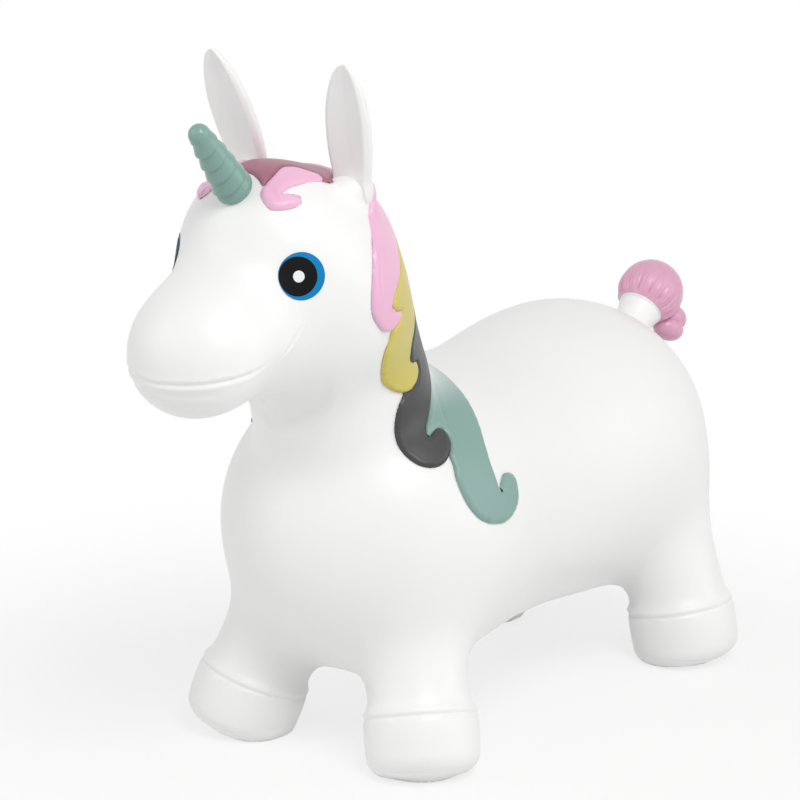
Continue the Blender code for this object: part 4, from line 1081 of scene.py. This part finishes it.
def pvc(name, colour, shade, roughness, grain=0.05, skin=0.1, shine=0.5, bare=None):
    """Soft PVC: its colour drifts a little with the thickness of the spray, and its gloss with handling.

    Where bare gives a direction and two distances along it, the skin is bare at the first one
    and covered from the second.
    """
    material, tree, shader = blank(name)
    place = add(tree, "ShaderNodeTexCoord").outputs["Object"]
    drift = add(tree, "ShaderNodeTexNoise", inputs={"Vector": place, "Scale": 18.0, "Detail": 3.0})
    thickness = drift.outputs["Fac"]
    tints = {"Factor": thickness, 6: linear(shade), 7: linear(colour)}
    spray = add(tree, "ShaderNodeMix", {"data_type": "RGBA"}, tints).outputs[2]
    if bare:
        direction, none, full = bare
        ends = {0: place, 1: direction}
        along = add(tree, "ShaderNodeVectorMath", {"operation": "DOT_PRODUCT"}, ends)
        span = {"Value": along.outputs["Value"], "From Min": none, "From Max": full}
        cover = add(tree, "ShaderNodeMapRange", {"interpolation_type": "SMOOTHSTEP"}, span)
        layers = {"Factor": cover.outputs["Result"], 6: linear(BARE_SKIN), 7: spray}
        spray = add(tree, "ShaderNodeMix", {"data_type": "RGBA"}, layers).outputs[2]
    tree.links.new(spray, shader.inputs["Base Color"])
    span = {"Value": thickness, "To Min": roughness - 0.05, "To Max": roughness + 0.05}
    rub = add(tree, "ShaderNodeMapRange", inputs=span)
    tree.links.new(rub.outputs["Result"], shader.inputs["Roughness"])
    fine = add(tree, "ShaderNodeTexNoise", inputs={"Vector": place, "Scale": 900.0, "Detail": 2.0})
    relief = {"Strength": grain, "Distance": 0.0002, "Height": fine.outputs["Fac"]}
    bump = add(tree, "ShaderNodeBump", inputs=relief)
    tree.links.new(bump.outputs["Normal"], shader.inputs["Normal"])
    shader.inputs["IOR"].default_value = 1.5
    shader.inputs["Subsurface Weight"].default_value = skin
    shader.inputs["Subsurface Scale"].default_value = 0.004
    shader.inputs["Subsurface Radius"].default_value = (1.0, 0.9, 0.85)
    shader.inputs["Specular IOR Level"].default_value = shine
    return material


def seen_rays(tree):
    """1 for the rays that look at a thing, directly, mirrored or through something clear."""
    path = add(tree, "ShaderNodeLightPath")
    seen = path.outputs["Is Camera Ray"]
    for other in ("Is Glossy Ray", "Is Transmission Ray"):
        inputs = {0: seen, 1: path.outputs[other]}
        seen = add(tree, "ShaderNodeMath", {"operation": "MAXIMUM"}, inputs).outputs[0]
    return seen


def floor_paint():
    """White paper that keeps a soft shadow near the toy and goes to plain white away from it."""
    paint, tree, shader = blank("floor_paint")
    shader.inputs["Base Color"].default_value = (0.9, 0.9, 0.9, 1)
    shader.inputs["Roughness"].default_value = 0.9
    shader.inputs["Specular IOR Level"].default_value = 0.1
    place = {0: add(tree, "ShaderNodeNewGeometry").outputs["Position"]}
    far = add(tree, "ShaderNodeVectorMath", {"operation": "LENGTH"}, place).outputs["Value"]
    span = {"Value": far, "From Min": PAPER_NEAR, "From Max": PAPER_FAR, "To Min": PAPER_GLOW, "To Max": 1.0}
    white = add(tree, "ShaderNodeMapRange", {"interpolation_type": "SMOOTHSTEP"}, span)
    factors = {0: white.outputs["Result"], 1: seen_rays(tree)}
    share = add(tree, "ShaderNodeMath", {"operation": "MULTIPLY"}, factors)
    glow = add(tree, "ShaderNodeEmission", inputs={"Color": (1, 1, 1, 1), "Strength": 1.0})
    layers = {0: share.outputs[0], 1: shader.outputs[0], 2: glow.outputs[0]}
    mix = add(tree, "ShaderNodeMixShader", inputs=layers)
    tree.links.new(mix.outputs[0], tree.nodes["Material Output"].inputs["Surface"])
    return paint


def studio():
    """A white floor and broad soft lamps, in a pale room."""
    bm = bmesh.new()
    bmesh.ops.create_grid(bm, x_segments=1, y_segments=1, size=6)
    floor = in_scene("studio_floor", bare_mesh("studio_floor", bm))
    floor.location.z = -0.0003
    floor.data.materials.append(floor_paint())
    for name, (place, size, power, tint) in LAMPS.items():
        lamp = bpy.data.lights.new(name, "AREA")
        lamp.size = size
        lamp.energy = power
        lamp.color = tint
        holder = in_scene(name, lamp)
        holder.location = place
        holder.rotation_euler = (Vector(LAMP_AIM) - Vector(place)).to_track_quat("-Z", "Y").to_euler()
    world = bpy.data.worlds.new("pale_room")
    bpy.context.scene.world = world
    world.use_nodes = True
    tree = world.node_tree
    room = tree.nodes["Background"]
    room.inputs["Color"].default_value = (1, 1, 1, 1)
    room.inputs["Strength"].default_value = ROOM_LIGHT
    backdrop = add(tree, "ShaderNodeBackground", inputs={"Color": (1, 1, 1, 1), "Strength": 1.0})
    choose = add(tree, "ShaderNodeMixShader", inputs={0: seen_rays(tree)})
    tree.links.new(room.outputs[0], choose.inputs[1])
    tree.links.new(backdrop.outputs[0], choose.inputs[2])
    tree.links.new(choose.outputs[0], tree.nodes["World Output"].inputs["Surface"])


def camera():
    a, e = math.radians(VIEW_AZIMUTH), math.radians(VIEW_ELEVATION)
    back = Vector((math.sin(a) * math.cos(e), -math.cos(a) * math.cos(e), math.sin(e)))
    right = Vector((math.cos(a), math.sin(a), 0))
    up = back.cross(right)
    across, along, height = VIEW_TARGET
    place = Vector((0, along, height)) + right * across + back * VIEW_DISTANCE
    lens = bpy.data.cameras.new("photo_view")
    lens.lens = VIEW_LENS
    lens.sensor_width = 36
    lens.clip_end = 30
    holder = in_scene("photo_view", lens)
    holder.matrix_world = Matrix(
        (
            (right.x, up.x, back.x, place.x),
            (right.y, up.y, back.y, place.y),
            (right.z, up.z, back.z, place.z),
            (0, 0, 0, 1),
        )
    )
    bpy.context.scene.camera = holder


def main():
    white = pvc("white_pvc", "#F7F7F6", BARE_SKIN, 0.38, skin=0.04)
    pink = pvc("pink_spray", "#F2BEDA", "#ECB4D2", 0.3, skin=0.05)
    # The crest's pink, darkened with painted shade for the dark reflection on the top of the poll
    pink_painted_shade = pvc("pink_painted_shade_spray", "#A96D7F", "#9F6576", 0.38, skin=0.05)
    dip_start = float(np.dot(TAIL_AXIS, TAIL_ROOT)) + DIP_START
    dip = (TAIL_AXIS, dip_start, dip_start + DIP_EDGE)
    dipped = pvc("dipped_spray", "#E2ABC6", "#DA9FBC", 0.25, skin=0.05, bare=dip)
    rose = pvc("rose_spray", "#E2ABC6", "#DA9FBC", 0.25, skin=0.05)
    yellow = pvc("yellow_spray", "#D6C869", "#CDBF5A", 0.36, skin=0.05)
    charcoal = pvc("charcoal_spray", "#404042", "#38383A", 0.33, grain=0.4, skin=0.0)
    thinned = ((0, 0, 1), SAGE_BARE, SAGE_FULL)
    sage = pvc("sage_spray", "#8AABA4", "#81A39B", 0.36, skin=0.03, bare=thinned)
    green = pvc("horn_spray", "#86AAA0", "#7BA096", 0.24, skin=0.03)
    blue = pvc("blue_print", "#0084C3", "#007CB8", 0.45, skin=0.0, shine=0.2)
    black = pvc("black_print", "#060607", "#020203", 0.5, skin=0.0, shine=0.15)
    glint = pvc("white_print", "#EEF4F4", "#E2EAEA", 0.4, skin=0.0, shine=0.3)
    valve = pvc("valve_plastic", "#E9E9E6", "#E2E2DF", 0.42)
    source = skin_pieces(white)
    mane(source, {"pink": pink, "yellow": yellow, "charcoal": charcoal, "sage": sage})
    poll(source, pink, pink_painted_shade)
    eyes(source, {"iris": blue, "pupil": black, "glint": glint})
    source.free()
    ears(white)
    horn(green)
    tail(white, dipped, rose)
    for name in ("valve_seat", "valve_plug"):
        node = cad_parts[name]
        node.data.materials.clear()
        node.data.materials.append(valve)
    studio()
    camera()
    bpy.context.scene.view_settings.view_transform = "Standard"


main()
